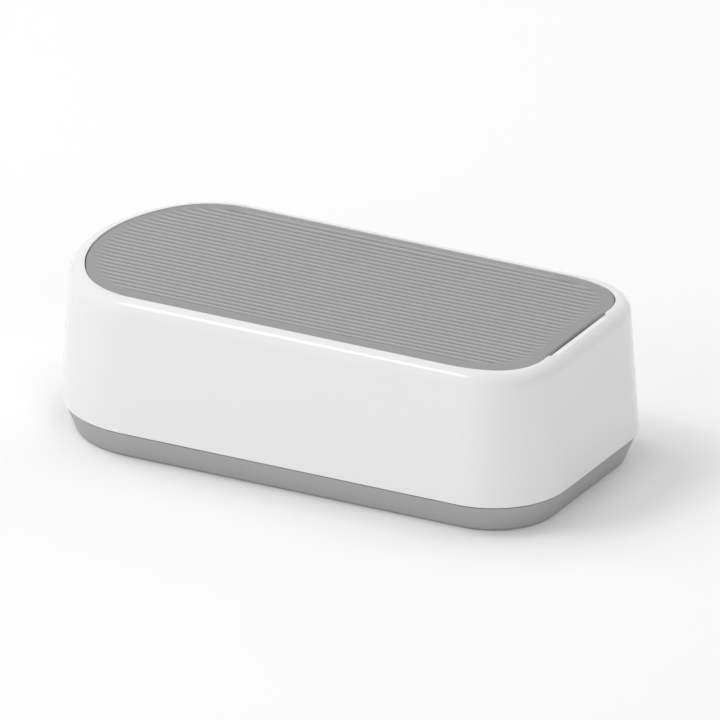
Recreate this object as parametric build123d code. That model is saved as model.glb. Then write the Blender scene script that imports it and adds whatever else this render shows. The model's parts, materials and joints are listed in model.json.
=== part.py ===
from build123d import *
import math
import os

# Plan outline of the lid, in millimetres. One end is flat with round corners.
# The other end is a wide arc between two larger corner arcs.
lid_length = 188.0
lid_width = 88.4
flat_end_corner_radius = 19.4
bowed_end_corner_radius = 29.3
bowed_end_crown = 4.95

# The lid's own corners at the flat end start on a wide arc and finish on a tight one
lid_wide_radius = 45.0
lid_wide_turn = 20.0
lid_tight_radius = 17.5

# White case
case_height = 49.1
case_draft = 3.57
case_wall = 2.2
top_land = 0.65
top_edge_radius = 5.15
rim_edge_radius = 0.25

# Grey base tray
foot_stand = 0.5
band_height = 10.25
base_edge_offset = 3.85
band_step = 0.6
shadow_gap = 0.5
base_wall = 2.2
base_floor = 2.4
base_edge_radius = 0.5
base_lip_height = 2.6
base_lip_root = 2.5
base_lip_wall = 1.6
base_lip_clearance = 0.3

# Rubber feet
foot_radius = 6.0
foot_recess = 1.2
foot_fit = 0.05
foot_inset_x = 34.0
foot_inset_y = 12.2

# Lid
lid_recess = 0.25
lid_depth = 4.25
lid_plate = 2.4
lid_skirt = 2.0
lid_side_gap = 0.35
lid_rest_gap = 0.3
lid_edge_chamfer = 0.4
rib_pitch = 2.87
rib_count = 28
groove_width = 1.25
groove_depth = 0.5
rib_margin = 4.8
rib_shift_x = -1.3
rib_shift_y = 1.4
lip_scoop_depth = 0.8
lip_scoop_reach = 1.5
lip_hollow = 0.57

# Finger notch in the case, beside the lid's flat end
notch_width = 43.0
notch_reach = 2.3
notch_slant = 3.1
notch_inner_depth = 0.8
notch_outer_depth = 0.42

# Lid liner and its seal
liner_plate = 1.5
liner_fit = 0.05
spigot_gap = 1.6
spigot_wall = 1.6
spigot_reach = 5.0
seal_height = 2.0
seal_groove = 0.6
seal_clearance = 0.35

# Tank
ledge_thickness = 2.0
mouth_offset = -6.0
tank_seal_thickness = 1.0
tank_seal_inset = 0.1
tank_seal_width = 2.6
tank_inset = 0.6
tank_sheet = 0.8
tank_depth = 34.0
tank_draft = 2.0
tank_bottom_radius = 8.0
flange_width = 2.8

# Clamps that hold the tank's flange
clamp_spacing = 55.0
clamps_per_side = 3
clamp_shift = 5.0
clamp_offset = 0.8
clamp_plate = 1.2
clamp_width = 7.0
clamp_reach_in = 5.4
clamp_reach_out = 2.4
clamp_boss_radius = 2.9
clamp_screw_radius = 1.0
clamp_screw_head_radius = 1.9
clamp_screw_head = 1.2
clamp_screw_bite = 2.6

# Screws that hold the base tray
post_offset = -1.5
post_radius = 3.4
post_top = 45.0
post_web = 2.0
flat_end_post_angle = 45.0
bowed_end_post_angle = 120.0
boss_radius = 4.4
boss_rise = 1.2
base_screw_radius = 1.5
base_screw_head_radius = 2.8
base_screw_head = 2.2
base_screw_recess = 3.6
base_screw_bite = 8.0
screw_clearance = 0.2
thread_clearance = 0.05
hole_spare = 0.4

# Ultrasonic disc
disc_radius = 17.5
disc_thickness = 2.8

# Start button, on the long face at +Y
button_height = 36.0
button_radius = 8.0
button_proud = 0.5
button_travel = 0.5
button_gap = 0.3
button_flange = 1.2
button_flange_overlap = 1.4
button_stub_radius = 1.8
button_stub = 1.1
ring_wall = 1.2
ring_proud = 0.3
ring_fit = 0.1
ring_flange = 1.2
ring_flange_overlap = 1.6
ring_seat_margin = 1.0
button_edge_radius = 0.5

# Switch behind the button
plunger_radius = 1.6
plunger_stand = 1.0
plunger_in_bore = 0.8
plunger_fit = 0.1
switch_size = 6.0
switch_height = 1.9
switch_floor = 0.4
switch_board_length = 36.0
switch_board_width = 14.0
switch_board_thickness = 1.2
switch_boss_x = 14.5
switch_boss_radius = 2.2
switch_screw_radius = 0.9
switch_screw_head_radius = 1.7
switch_screw_head = 1.0
switch_screw_bite = 4.0
led_length = 3.0
led_width = 2.4
led_height = 1.6
led_x = 8.9

# Power inlet, low in the bowed end at -X
inlet_height = 20.5
inlet_bore_radius = 4.9
inlet_tube_wall = 1.0
inlet_flange_radius = 6.9
inlet_flange = 1.3
inlet_length = 4.0
inlet_fit = 0.1
jack_size = 9.4
jack_length = 9.0
jack_socket_radius = 3.0
jack_socket_depth = 8.0
jack_pin_radius = 1.05
jack_pin_length = 7.0
cradle_wall = 1.6
cradle_height = 6.0
cradle_fit = 0.1
cradle_setback = 1.0

# Driver board
board_length = 70.0
board_width = 50.0
board_thickness = 1.6
board_centre_x = 48.0
standoff_height = 3.2
standoff_radius = 3.0
standoff_inset = 3.5
board_screw_radius = 1.2
board_screw_head_radius = 2.2
board_screw_head = 1.5
board_screw_bite = 2.6

# Parts on the driver board
core_length = 20.0
core_width = 16.0
core_height = 5.6
core_lift = 1.2
core_leg = 4.0
winding_gap = 0.3
choke_radius = 5.5
choke_height = 7.0
choke_flange = 1.0
choke_waist = 2.6
transistor_length = 6.6
transistor_width = 6.1
transistor_height = 2.3
transistor_pitch = 12.0
pad_thickness = 0.4
sink_length = 22.0
sink_width = 16.0
sink_base = 1.6
sink_height = 5.6
sink_fins = 7
sink_fin = 1.2
can_radius = 4.0
can_length = 14.0
can_pitch = 9.0
film_length = 13.0
film_width = 5.0
film_height = 8.0
chip_length = 10.0
chip_width = 4.0
chip_height = 1.6
chip_pins_per_side = 8
chip_pin_pitch = 1.27
chip_pin_reach = 1.2
chip_pin = 0.4
resistor_length = 3.2
resistor_width = 1.6
resistor_height = 0.6
resistor_count = 8
resistor_pitch = 4.4
resistor_row_pitch = 2.6
diode_length = 4.4
diode_width = 2.6
diode_height = 2.2
diode_count = 4
diode_pitch = 5.0
diode_row_pitch = 6.0
connector_depth = 6.0
connector_height = 5.5
connector_pitch = 2.5
connector_wall = 1.75
connector_edge = 1.0
connector_corner = 11.5
choke_from_end = 21.0
chip_from_end = 19.0
diode_from_end = 15.0
film_from_end = 8.0
can_from_end = 9.0
resistor_gap = 1.8

# Leads
lead_radius = 0.65
inlet_lead_radius = 0.8
lead_height = 3.0
inlet_lead_run = 5.0
inlet_lead_drop = 12.0
inlet_lead_sway = 30.0
inlet_lead_bend = 5.0
disc_lead_reach = 7.0
disc_lead_bend = 2.0
switch_lead_run = 6.0
switch_lead_bend = 3.0

# Heights above the table, and places that follow from the sizes above
base_low = foot_stand
rim_low = base_low + band_height
case_top = rim_low + case_height
lid_high = case_top - lid_recess
seat_top = lid_high - lid_depth - lid_rest_gap
ledge_low = seat_top - ledge_thickness
flange_top = ledge_low - tank_seal_thickness
flange_low = flange_top - tank_sheet
tank_floor = flange_top - tank_depth
tank_low = tank_floor - tank_sheet
floor_top = base_low + base_floor
boss_top = rim_low + boss_rise
board_low = floor_top + standoff_height
board_top = board_low + board_thickness
lead_z = board_top + lead_height

half_length = lid_length / 2
half_width = lid_width / 2
draft_slope = math.tan(math.radians(case_draft))
case_edge_offset = top_land + top_edge_radius * math.tan(math.radians(45 - case_draft / 2))
rim_offset = case_edge_offset + case_height * draft_slope
band_offset = rim_offset - band_step
tank_mouth = mouth_offset - tank_inset
tank_outside = tank_mouth + tank_sheet

flat_corner = Vector(half_length - flat_end_corner_radius, half_width - flat_end_corner_radius)
bowed_corner = Vector(
    bowed_end_crown + bowed_end_corner_radius - half_length,
    half_width - bowed_end_corner_radius,
)
bow_radius = (
    bowed_end_corner_radius
    + bowed_end_crown / 2
    + bowed_corner.Y**2 / (2 * bowed_end_crown)
)
bow_centre_x = bow_radius - half_length
bow_angle = math.degrees(math.atan2(bowed_corner.Y, bowed_corner.X - bow_centre_x))

lid_turn = math.radians(lid_wide_turn)
lid_wide_centre = Vector(
    half_length - lid_tight_radius - (lid_wide_radius - lid_tight_radius) * math.sin(lid_turn),
    half_width - lid_wide_radius,
)
lid_tight_centre = Vector(
    half_length - lid_tight_radius,
    lid_wide_centre.Y + (lid_wide_radius - lid_tight_radius) * math.cos(lid_turn),
)


def case_offset(height):
    """How far the case's outside stands out from the lid's outline at a height."""
    return rim_offset - (height - rim_low) * draft_slope


def flat_end_arcs(offset, for_lid):
    """Centre, radius, start angle and turn of each arc of the flat end's corner at +Y."""
    if for_lid:
        return [
            (lid_tight_centre, lid_tight_radius + offset, 0, 90 - lid_wide_turn),
            (lid_wide_centre, lid_wide_radius + offset, 90 - lid_wide_turn, lid_wide_turn),
        ]
    return [(flat_corner, flat_end_corner_radius + offset, 0, 90)]


def outline(offset, for_lid=False):
    """Face inside the plan outline moved outwards by offset. All its arcs keep their centres."""
    side = half_width + offset
    end = half_length + offset
    arcs = flat_end_arcs(offset, for_lid)
    arcs.append((bowed_corner, bowed_end_corner_radius + offset, 90, bow_angle - 90))
    end_y = arcs[0][0].Y
    side_x = arcs[-2][0].X
    edges = [
        Line((end, -end_y), (end, end_y)),
        Line((side_x, side), (bowed_corner.X, side)),
        Line((side_x, -side), (bowed_corner.X, -side)),
        CenterArc((bow_centre_x, 0), bow_radius + offset, bow_angle, 360 - 2 * bow_angle),
    ]
    for centre, radius, start, turn in arcs:
        edges.append(CenterArc((centre.X, centre.Y), radius, start, turn))
        edges.append(CenterArc((centre.X, -centre.Y), radius, -start - turn, turn))
    return make_face(edges)


def slab(offset, low, high, for_lid=False):
    """Upright solid inside the outline between two heights."""
    return extrude(Pos(0, 0, low) * outline(offset, for_lid), high - low)


def narrowing(offset, low, high, draft):
    """Solid whose walls lean inwards on the way up."""
    return extrude(Pos(0, 0, low) * outline(offset), high - low, taper=draft)


def widening(offset, low, high, draft):
    """Solid whose walls lean outwards on the way up. The offset is that of its top."""
    return Rot(180, 0, 0) * narrowing(offset, -high, -low, draft)


def tube(radius, start, end):
    """Round bar from one point to another."""
    start = Vector(*start)
    end = Vector(*end)
    axis = end - start
    plane = Plane(origin=start, z_dir=axis)
    return extrude(plane * Circle(radius), axis.length)


def button_bar(radius, back, front):
    """Round bar along the button's axis."""
    return tube(radius, (0, back, button_height), (0, front, button_height))


def inlet_bar(radius, start, end):
    """Round bar along the power inlet's axis."""
    return tube(radius, (start, 0, inlet_height), (end, 0, inlet_height))


def block(low, high):
    """Box between two opposite corners."""
    size = [b - a for a, b in zip(low, high)]
    middle = [(a + b) / 2 for a, b in zip(low, high)]
    return Pos(*middle) * Box(*size)


def screw(tip, direction, radius, length, head_radius, head_height):
    """Pan-head screw. The tip is where its shank ends and direction points to the head."""
    direction = Vector(*direction)
    tip = Vector(*tip)
    seat = tip + direction * length
    crown = seat + direction * head_height
    shank = tube(radius, tip, seat)
    head = tube(head_radius, seat, crown)
    plane = Plane(origin=crown, z_dir=direction * -1)
    slot_length = head_radius * 1.2
    slot_width = head_radius * 0.24
    cross = Rectangle(slot_length, slot_width) + Rectangle(slot_width, slot_length)
    return shank + head - extrude(plane * cross, head_height / 2)


def lead(points, radius, bend):
    """Insulated lead along straight runs joined by tangent arcs."""
    path = FilletPolyline(*points, radius=bend)
    start = Plane(origin=path @ 0, z_dir=path % 0)
    return sweep(start * Circle(radius), path=path)


def group(solids):
    """Separate solids kept together in one sub-part."""
    return Compound(children=list(solids))


def corner_places(offset):
    """Plan points at the four corners, on a curve beside the outline."""
    places = []
    corners = (
        (flat_corner, flat_end_corner_radius, flat_end_post_angle),
        (bowed_corner, bowed_end_corner_radius, bowed_end_post_angle),
    )
    for centre, radius, angle in corners:
        turn = math.radians(angle)
        x = centre.X + (radius + offset) * math.cos(turn)
        y = centre.Y + (radius + offset) * math.sin(turn)
        places.append((x, y, angle))
        places.append((x, -y, -angle))
    return places


def clamp_places():
    """Plan points of the tank's clamps along both sides, with the side's sign."""
    places = []
    for side in (1, -1):
        for index in range(clamps_per_side):
            x = clamp_shift + (index - (clamps_per_side - 1) / 2) * clamp_spacing
            places.append((x, side * (half_width + clamp_offset), side))
    return places


def foot_places():
    """Plan points of the rubber feet."""
    x = half_length - foot_inset_x
    y = half_width - foot_inset_y
    return [(sx * x, sy * y) for sx in (1, -1) for sy in (1, -1)]


def standoff_places():
    """Plan points of the driver board's four screws."""
    x = board_length / 2 - standoff_inset
    y = board_width / 2 - standoff_inset
    return [(board_centre_x + sx * x, sy * y) for sx in (1, -1) for sy in (1, -1)]


# Start button: distances from the middle plane along +Y, worked from the case's wall inwards
button_wall = half_width + case_offset(button_height)
ring_radius = button_radius + button_gap + ring_wall
ring_flange_radius = ring_radius + ring_flange_overlap
ring_seat = button_wall - case_wall - (ring_flange_radius + ring_seat_margin) * draft_slope
ring_back = ring_seat - ring_flange
cap_flange_front = ring_back - button_gap
cap_flange_back = cap_flange_front - button_flange
plunger_front = cap_flange_back - button_stub
switch_front = plunger_front - plunger_stand
switch_board_front = switch_front - switch_height
switch_board_back = switch_board_front - switch_board_thickness

# Power inlet: distances along X
inlet_face = -(half_length + rim_offset)
inlet_back = inlet_face + inlet_length
jack_back = inlet_back + jack_length


def case_outside():
    """Outer body of the white case with its rounded top edge."""
    body = narrowing(rim_offset, rim_low, case_top, case_draft)
    body = fillet(body.faces().sort_by(Axis.Z)[-1].edges(), top_edge_radius)
    return fillet(body.faces().sort_by(Axis.Z)[0].edges(), rim_edge_radius)


def finger_notch():
    """Shallow hollow beside the lid's flat end: slanted ends and a floor that rises outwards."""
    inner = half_length
    lid_side = half_length + lid_side_gap
    outer = lid_side + notch_reach
    slant = notch_slant / notch_reach
    inner_half = notch_width / 2 + slant * lid_side_gap
    outer_half = notch_width / 2 - notch_slant
    plan = make_face(
        Polyline(
            (inner, -inner_half),
            (outer, -outer_half),
            (outer, outer_half),
            (inner, inner_half),
            close=True,
        )
    )
    rise = (notch_inner_depth - notch_outer_depth) / notch_reach
    profile = make_face(
        Polyline(
            (inner, case_top - notch_inner_depth - rise * lid_side_gap),
            (outer, case_top - notch_outer_depth),
            (outer, case_top),
            (inner, case_top),
            close=True,
        )
    )
    height = notch_inner_depth * 2
    upright = extrude(Pos(0, 0, case_top - height) * plan, height)
    return upright & extrude(Plane.XZ.offset(-inner_half) * profile, 2 * inner_half)


def base_screw_posts(outside):
    """Posts for the base screws, each joined to the wall by a web."""
    posts = []
    for x, y, angle in corner_places(post_offset):
        post = tube(post_radius, (x, y, boss_top), (x, y, post_top))
        reach = rim_offset - post_offset
        web_low = rim_low + base_lip_height + base_lip_clearance
        web = Box(reach, post_web, post_top - web_low, align=(Align.MIN, Align.CENTER, Align.MIN))
        web = Pos(x, y, web_low) * Rot(0, 0, angle) * web
        hole = tube(
            base_screw_radius + thread_clearance,
            (x, y, boss_top),
            (x, y, boss_top + base_screw_bite + hole_spare),
        )
        posts.append((post + (web & outside)) - hole)
    return posts


def jack_cradle(outside):
    """Pocket inside the bowed end that holds the power jack from below and both sides."""
    half = jack_size / 2 + cradle_fit
    low = inlet_height - half - cradle_wall
    walls = block(
        (inlet_face, -half - cradle_wall, low),
        (jack_back - cradle_setback, half + cradle_wall, inlet_height - half + cradle_height),
    )
    pocket = block((inlet_back, -half, inlet_height - half), (jack_back, half, case_top))
    return (walls - pocket) & outside


def upper_shell():
    """White case: wall, lid seat, finger notch, posts, bosses and the two side holes."""
    outside = case_outside()
    cavity = narrowing(rim_offset - case_wall, rim_low, ledge_low, case_draft)
    seat = slab(lid_side_gap, seat_top, case_top, for_lid=True)
    mouth = slab(mouth_offset, ledge_low, seat_top)
    shell = outside - cavity - seat - mouth - finger_notch()
    shell += base_screw_posts(outside)
    for x, y, side in clamp_places():
        boss = tube(clamp_boss_radius, (x, y, flange_low), (x, y, ledge_low))
        hole = tube(
            clamp_screw_radius + thread_clearance,
            (x, y, flange_low),
            (x, y, flange_low + clamp_screw_bite + hole_spare),
        )
        shell = shell + (boss & outside) - hole
    shell += button_bar(ring_flange_radius + ring_seat_margin, ring_seat, button_wall) & outside
    shell -= button_bar(ring_radius + ring_fit, ring_back, button_wall + case_wall)
    for x in (-switch_boss_x, switch_boss_x):
        boss = tube(
            switch_boss_radius,
            (x, switch_board_front, button_height),
            (x, button_wall, button_height),
        )
        hole = tube(
            switch_screw_radius + thread_clearance,
            (x, switch_board_front, button_height),
            (x, switch_board_front + switch_screw_bite + hole_spare, button_height),
        )
        shell = shell + (boss & outside) - hole
    shell += jack_cradle(outside)
    shell -= inlet_bar(inlet_flange_radius + inlet_fit, inlet_face, inlet_face + inlet_flange)
    return shell - inlet_bar(inlet_bore_radius + inlet_tube_wall + inlet_fit, inlet_face, inlet_back)


def base_cover():
    """Grey tray: flaring band, floor, lip inside the case, screw bosses and standoffs."""
    band_top = rim_low - shadow_gap
    flare = math.degrees(math.atan2(band_offset - base_edge_offset, band_top - base_low))
    body = widening(band_offset, base_low, band_top, flare)
    body = fillet(body.faces().sort_by(Axis.Z)[0].edges(), base_edge_radius)
    pocket = widening(band_offset - base_wall, floor_top, band_top, flare)
    lip_outside = rim_offset - case_wall - base_lip_clearance - base_lip_height * draft_slope
    lip_top = rim_low + base_lip_height
    lip_low = band_top - base_lip_root
    lip = slab(lip_outside, lip_low, lip_top) - slab(lip_outside - base_lip_wall, lip_low, lip_top)
    lip &= body + slab(lip_outside, band_top, lip_top)
    tray = body - pocket + lip
    for x, y, angle in corner_places(post_offset):
        boss = tube(boss_radius, (x, y, base_low), (x, y, boss_top))
        keep = body + slab(lip_outside - base_lip_wall, band_top, boss_top)
        tray += boss & keep
        tray -= tube(base_screw_radius + screw_clearance, (x, y, base_low), (x, y, boss_top))
        tray -= tube(
            base_screw_head_radius + screw_clearance,
            (x, y, base_low),
            (x, y, base_low + base_screw_recess),
        )
    for x, y in foot_places():
        tray -= tube(foot_radius + foot_fit, (x, y, base_low), (x, y, base_low + foot_recess))
    for x, y in standoff_places():
        tray += tube(standoff_radius, (x, y, floor_top), (x, y, board_low))
        tray -= tube(
            board_screw_radius + thread_clearance,
            (x, y, board_low - board_screw_bite - hole_spare),
            (x, y, board_low),
        )
    return tray


def rubber_feet():
    """Four round feet set into the tray's floor."""
    feet = []
    for x, y in foot_places():
        foot = tube(foot_radius, (x, y, 0), (x, y, base_low + foot_recess))
        feet.append(chamfer(foot.faces().sort_by(Axis.Z)[0].edges(), foot_stand / 2))
    return group(feet)


def base_screws():
    """Four screws from below, through the tray into the case's posts."""
    seat = base_low + base_screw_recess
    length = boss_top + base_screw_bite - seat
    return group(
        screw(
            (x, y, seat + length),
            (0, 0, -1),
            base_screw_radius,
            length,
            base_screw_head_radius,
            base_screw_head,
        )
        for x, y, angle in corner_places(post_offset)
    )


def lid_grooves():
    """Straight grooves along the lid, ended at a margin that follows the lid's outline."""
    low = lid_high - groove_depth
    first = rib_shift_y - (rib_count - 1) / 2 * rib_pitch
    bars = [
        block(
            (-half_length, first + index * rib_pitch - groove_width / 2, low),
            (half_length, first + index * rib_pitch + groove_width / 2, lid_high),
        )
        for index in range(rib_count)
    ]
    field = Pos(rib_shift_x, rib_shift_y, 0) * slab(-rib_margin, low, lid_high, for_lid=True)
    return Compound(children=bars) & field


def lid_lip():
    """What the lid loses at the finger notch: a bevel and a long shallow hollow in its edge."""
    low = seat_top + lid_rest_gap
    edge = half_length + lid_side_gap
    bevel = make_face(
        Polyline(
            (half_length - lip_scoop_reach, lid_high),
            (edge, lid_high),
            (edge, lid_high - lip_scoop_depth * (1 + lid_side_gap / lip_scoop_reach)),
            close=True,
        )
    )
    hollow_radius = notch_width**2 / (8 * lip_hollow) + lip_hollow / 2
    centre_x = half_length - lip_hollow + hollow_radius
    hollow = tube(hollow_radius, (centre_x, 0, low), (centre_x, 0, lid_high))
    return hollow, extrude(Plane.XZ.offset(-notch_width / 2) * bevel, notch_width)


def lid_top():
    """Grey ribbed lid with a turned-down skirt and a scooped lip at the finger notch."""
    low = seat_top + lid_rest_gap
    lid = slab(0, low, lid_high, for_lid=True)
    lid = chamfer(lid.faces().sort_by(Axis.Z)[-1].edges(), lid_edge_chamfer)
    lid -= slab(-lid_skirt, low, lid_high - lid_plate, for_lid=True)
    lid -= lid_grooves()
    for scoop in lid_lip():
        lid -= scoop
    return lid


def lid_liner():
    """Inner tray of the lid: a plate under the lid and a spigot that enters the tank."""
    plate_top = lid_high - lid_plate
    plate_low = plate_top - liner_plate
    spigot_low = seat_top - spigot_reach
    spigot_offset = tank_mouth - spigot_gap
    liner = slab(-lid_skirt - liner_fit, plate_low, plate_top, for_lid=True)
    liner += slab(spigot_offset, spigot_low, plate_low)
    liner -= slab(spigot_offset - spigot_wall, spigot_low, plate_low)
    groove_low = seal_low()
    groove = slab(spigot_offset, groove_low, groove_low + seal_height)
    groove -= slab(spigot_offset - seal_groove, groove_low, groove_low + seal_height)
    return liner - groove


def seal_low():
    """Height of the lid seal's lower face, just under the tank's flange."""
    return flange_top - seal_height


def lid_seal():
    """Rubber ring in the spigot's groove."""
    low = seal_low()
    ring = slab(tank_mouth - seal_clearance, low, low + seal_height)
    return ring - slab(tank_mouth - spigot_gap - seal_groove, low, low + seal_height)


def corner_limit(offset, share):
    """Largest safe fillet on a floor whose tightest corner lies at an offset."""
    return share * min(flat_end_corner_radius + offset, bowed_end_corner_radius + offset)


def tank():
    """Drawn stainless tank with a flat flange."""
    floor_offset = tank_mouth - tank_depth * math.tan(math.radians(tank_draft))
    bend = min(tank_bottom_radius, corner_limit(floor_offset, 0.8))
    outside = widening(tank_outside, tank_low, flange_top, tank_draft)
    outside = fillet(outside.faces().sort_by(Axis.Z)[0].edges(), bend + tank_sheet)
    inside = widening(tank_mouth, tank_floor, flange_top, tank_draft)
    inside = fillet(inside.faces().sort_by(Axis.Z)[0].edges(), bend)
    flange = slab(tank_mouth + flange_width + tank_sheet, flange_low, flange_top)
    return outside + flange - inside


def tank_seal():
    """Silicone ring between the tank's flange and the case's ledge."""
    outer = mouth_offset - tank_seal_inset + tank_seal_width
    ring = slab(outer, flange_top, ledge_low)
    return ring - slab(mouth_offset - tank_seal_inset, flange_top, ledge_low)


def tank_clamps():
    """Plates across the flange's edge and the case's bosses."""
    clamps = []
    for x, y, side in clamp_places():
        inner = y - side * clamp_reach_in
        outer = y + side * clamp_reach_out
        plate = block(
            (x - clamp_width / 2, min(inner, outer), flange_low - clamp_plate),
            (x + clamp_width / 2, max(inner, outer), flange_low),
        )
        hole = tube(
            clamp_screw_radius + screw_clearance,
            (x, y, flange_low - clamp_plate),
            (x, y, flange_low),
        )
        clamps.append(plate - hole)
    return group(clamps)


def clamp_screws():
    """Screws of the tank's clamps, driven from below."""
    length = clamp_plate + clamp_screw_bite
    return group(
        screw(
            (x, y, flange_low + clamp_screw_bite),
            (0, 0, -1),
            clamp_screw_radius,
            length,
            clamp_screw_head_radius,
            clamp_screw_head,
        )
        for x, y, side in clamp_places()
    )


def piezo_disc():
    """Ultrasonic disc bonded under the middle of the tank."""
    return tube(disc_radius, (0, 0, tank_low - disc_thickness), (0, 0, tank_low))


def start_button():
    """Round cap with a flange that keeps it in and a stub that presses the switch."""
    cap = button_bar(button_radius, cap_flange_back, button_wall + button_proud)
    cap = fillet(cap.faces().sort_by(Axis.Y)[-1].edges(), button_edge_radius)
    cap += button_bar(button_radius + button_flange_overlap, cap_flange_back, cap_flange_front)
    return cap + button_bar(button_stub_radius, plunger_front, cap_flange_back)


def button_light_ring():
    """Light guide in the case's hole, with a flange seated on the pad inside."""
    ring = button_bar(ring_radius, ring_back, button_wall + ring_proud)
    ring += button_bar(ring_flange_radius, ring_back, ring_seat)
    return ring - button_bar(button_radius + button_gap, ring_back, button_wall + ring_proud)


def tact_switch():
    """Body of the push switch with the bore that its plunger slides in."""
    half = switch_size / 2
    body = block(
        (-half, switch_board_front, button_height - half),
        (half, switch_front, button_height + half),
    )
    return body - button_bar(plunger_radius + plunger_fit, switch_board_front + switch_floor, switch_front)


def switch_plunger():
    """Plunger of the push switch."""
    return button_bar(plunger_radius, switch_front - plunger_in_bore, plunger_front)


def switch_board():
    """Small board behind the button, screwed to two bosses."""
    board = block(
        (-switch_board_length / 2, switch_board_back, button_height - switch_board_width / 2),
        (switch_board_length / 2, switch_board_front, button_height + switch_board_width / 2),
    )
    for x in (-switch_boss_x, switch_boss_x):
        board -= tube(
            switch_screw_radius + screw_clearance,
            (x, switch_board_back, button_height),
            (x, switch_board_front, button_height),
        )
    return board


def switch_board_screws():
    """Two screws that hold the switch board."""
    length = switch_board_thickness + switch_screw_bite
    return group(
        screw(
            (x, switch_board_front + switch_screw_bite, button_height),
            (0, -1, 0),
            switch_screw_radius,
            length,
            switch_screw_head_radius,
            switch_screw_head,
        )
        for x in (-switch_boss_x, switch_boss_x)
    )


def indicator_led():
    """Light source behind the light ring."""
    return block(
        (led_x - led_length / 2, switch_board_front, button_height - led_width / 2),
        (led_x + led_length / 2, switch_board_front + led_height, button_height + led_width / 2),
    )


def inlet_bezel():
    """Ring that lines the inlet's hole, with its flange sunk into the wall."""
    bezel = inlet_bar(inlet_bore_radius + inlet_tube_wall, inlet_face, inlet_back)
    bezel += inlet_bar(inlet_flange_radius, inlet_face, inlet_face + inlet_flange)
    return bezel - inlet_bar(inlet_bore_radius, inlet_face, inlet_back)


def power_jack():
    """Jack body with its round socket."""
    half = jack_size / 2
    body = block(
        (inlet_back, -half, inlet_height - half),
        (jack_back, half, inlet_height + half),
    )
    return body - inlet_bar(jack_socket_radius, inlet_back, inlet_back + jack_socket_depth)


def jack_pin():
    """Centre contact of the jack."""
    root = inlet_back + jack_socket_depth
    pin = inlet_bar(jack_pin_radius, root - jack_pin_length, root)
    return fillet(pin.faces().sort_by(Axis.X)[0].edges(), jack_pin_radius / 2)


def driver_board():
    """Circuit board of the ultrasonic driver."""
    board = block(
        (board_centre_x - board_length / 2, -board_width / 2, board_low),
        (board_centre_x + board_length / 2, board_width / 2, board_top),
    )
    for x, y in standoff_places():
        board -= tube(board_screw_radius + screw_clearance, (x, y, board_low), (x, y, board_top))
    return board


def board_screws():
    """Four screws of the driver board."""
    length = board_thickness + board_screw_bite
    return group(
        screw(
            (x, y, board_low - board_screw_bite),
            (0, 0, 1),
            board_screw_radius,
            length,
            board_screw_head_radius,
            board_screw_head,
        )
        for x, y in standoff_places()
    )


def on_board(x, y, length, width, height, lift=0.0):
    """Box standing on the driver board, placed from the board's centre."""
    centre = board_centre_x + x
    return block(
        (centre - length / 2, y - width / 2, board_top + lift),
        (centre + length / 2, y + width / 2, board_top + lift + height),
    )


# Places of the parts on the driver board, from its centre. Those near an end keep to that end,
# and the transformer, the heat sink and the resistors stand between them.
board_half = board_length / 2
choke_place = (choke_from_end - board_half, 14.5)
chip_place = (chip_from_end - board_half, -0.5)
diode_place = (diode_from_end - board_half, -18.0)
film_place = (board_half - film_from_end, 13.0)
can_place = (board_half - can_from_end, -5.0)

choke_edge = choke_place[0] + choke_radius
film_edge = film_place[0] - film_length / 2
diode_edge = diode_place[0] + diode_row_pitch + diode_length / 2
can_edge = can_place[0] - can_length / 2
resistor_row = (resistor_count // 2 - 1) * resistor_pitch + resistor_length
transformer_place = ((choke_edge + film_edge) / 2, 12.5)
sink_place = ((diode_edge + can_edge) / 2, -13.5)
resistor_place = (chip_place[0] + chip_length / 2 + resistor_gap + resistor_row / 2, 0.8)

edge_connector_x = connector_edge + connector_depth / 2 - board_half
inlet_connector_place = (edge_connector_x, 7.5)
disc_connector_place = (edge_connector_x, -8.5)
switch_connector_place = (
    connector_corner - board_half,
    board_width / 2 - connector_edge - connector_depth / 2,
)


def transformer_core():
    """Two E-shaped core halves that meet, drawn as one frame with a middle leg."""
    x, y = transformer_place
    core = on_board(x, y, core_length, core_width, core_height, core_lift)
    window = (core_length - 3 * core_leg) / 2
    for side in (-1, 1):
        centre = x + side * (core_leg / 2 + window / 2)
        core -= on_board(centre, y, window, core_width - 2 * core_leg, core_height, core_lift)
    return core


def transformer_winding():
    """Winding round the core's middle leg."""
    x, y = transformer_place
    outer = core_length - 2 * core_leg - 2 * winding_gap
    width = core_width - 2 * core_leg - 2 * winding_gap
    coil = on_board(x, y, outer, width, core_height + 2 * core_lift)
    return coil - on_board(x, y, core_leg, width, core_height, core_lift)


def choke_bar(radius, low, high):
    """Round bar on the choke's upright axis."""
    x = board_centre_x + choke_place[0]
    return tube(radius, (x, choke_place[1], low), (x, choke_place[1], high))


def choke_core():
    """Drum core with two flanges."""
    top = board_top + choke_height
    core = choke_bar(choke_waist, board_top, top)
    core += choke_bar(choke_radius, board_top, board_top + choke_flange)
    return core + choke_bar(choke_radius, top - choke_flange, top)


def choke_winding():
    """Copper winding between the drum's flanges."""
    low = board_top + choke_flange
    high = board_top + choke_height - choke_flange
    return choke_bar(choke_radius - winding_gap, low, high) - choke_bar(choke_waist, low, high)


def power_transistors():
    """Two flat output transistors under the heat sink."""
    x, y = sink_place
    half = transistor_pitch / 2
    return group(
        on_board(x + side * half, y, transistor_length, transistor_width, transistor_height)
        for side in (-1, 1)
    )


def heat_pad():
    """Thermal pad between the transistors and the heat sink."""
    x, y = sink_place
    length = transistor_pitch + transistor_length
    return on_board(x, y, length, transistor_width, pad_thickness, transistor_height)


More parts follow.
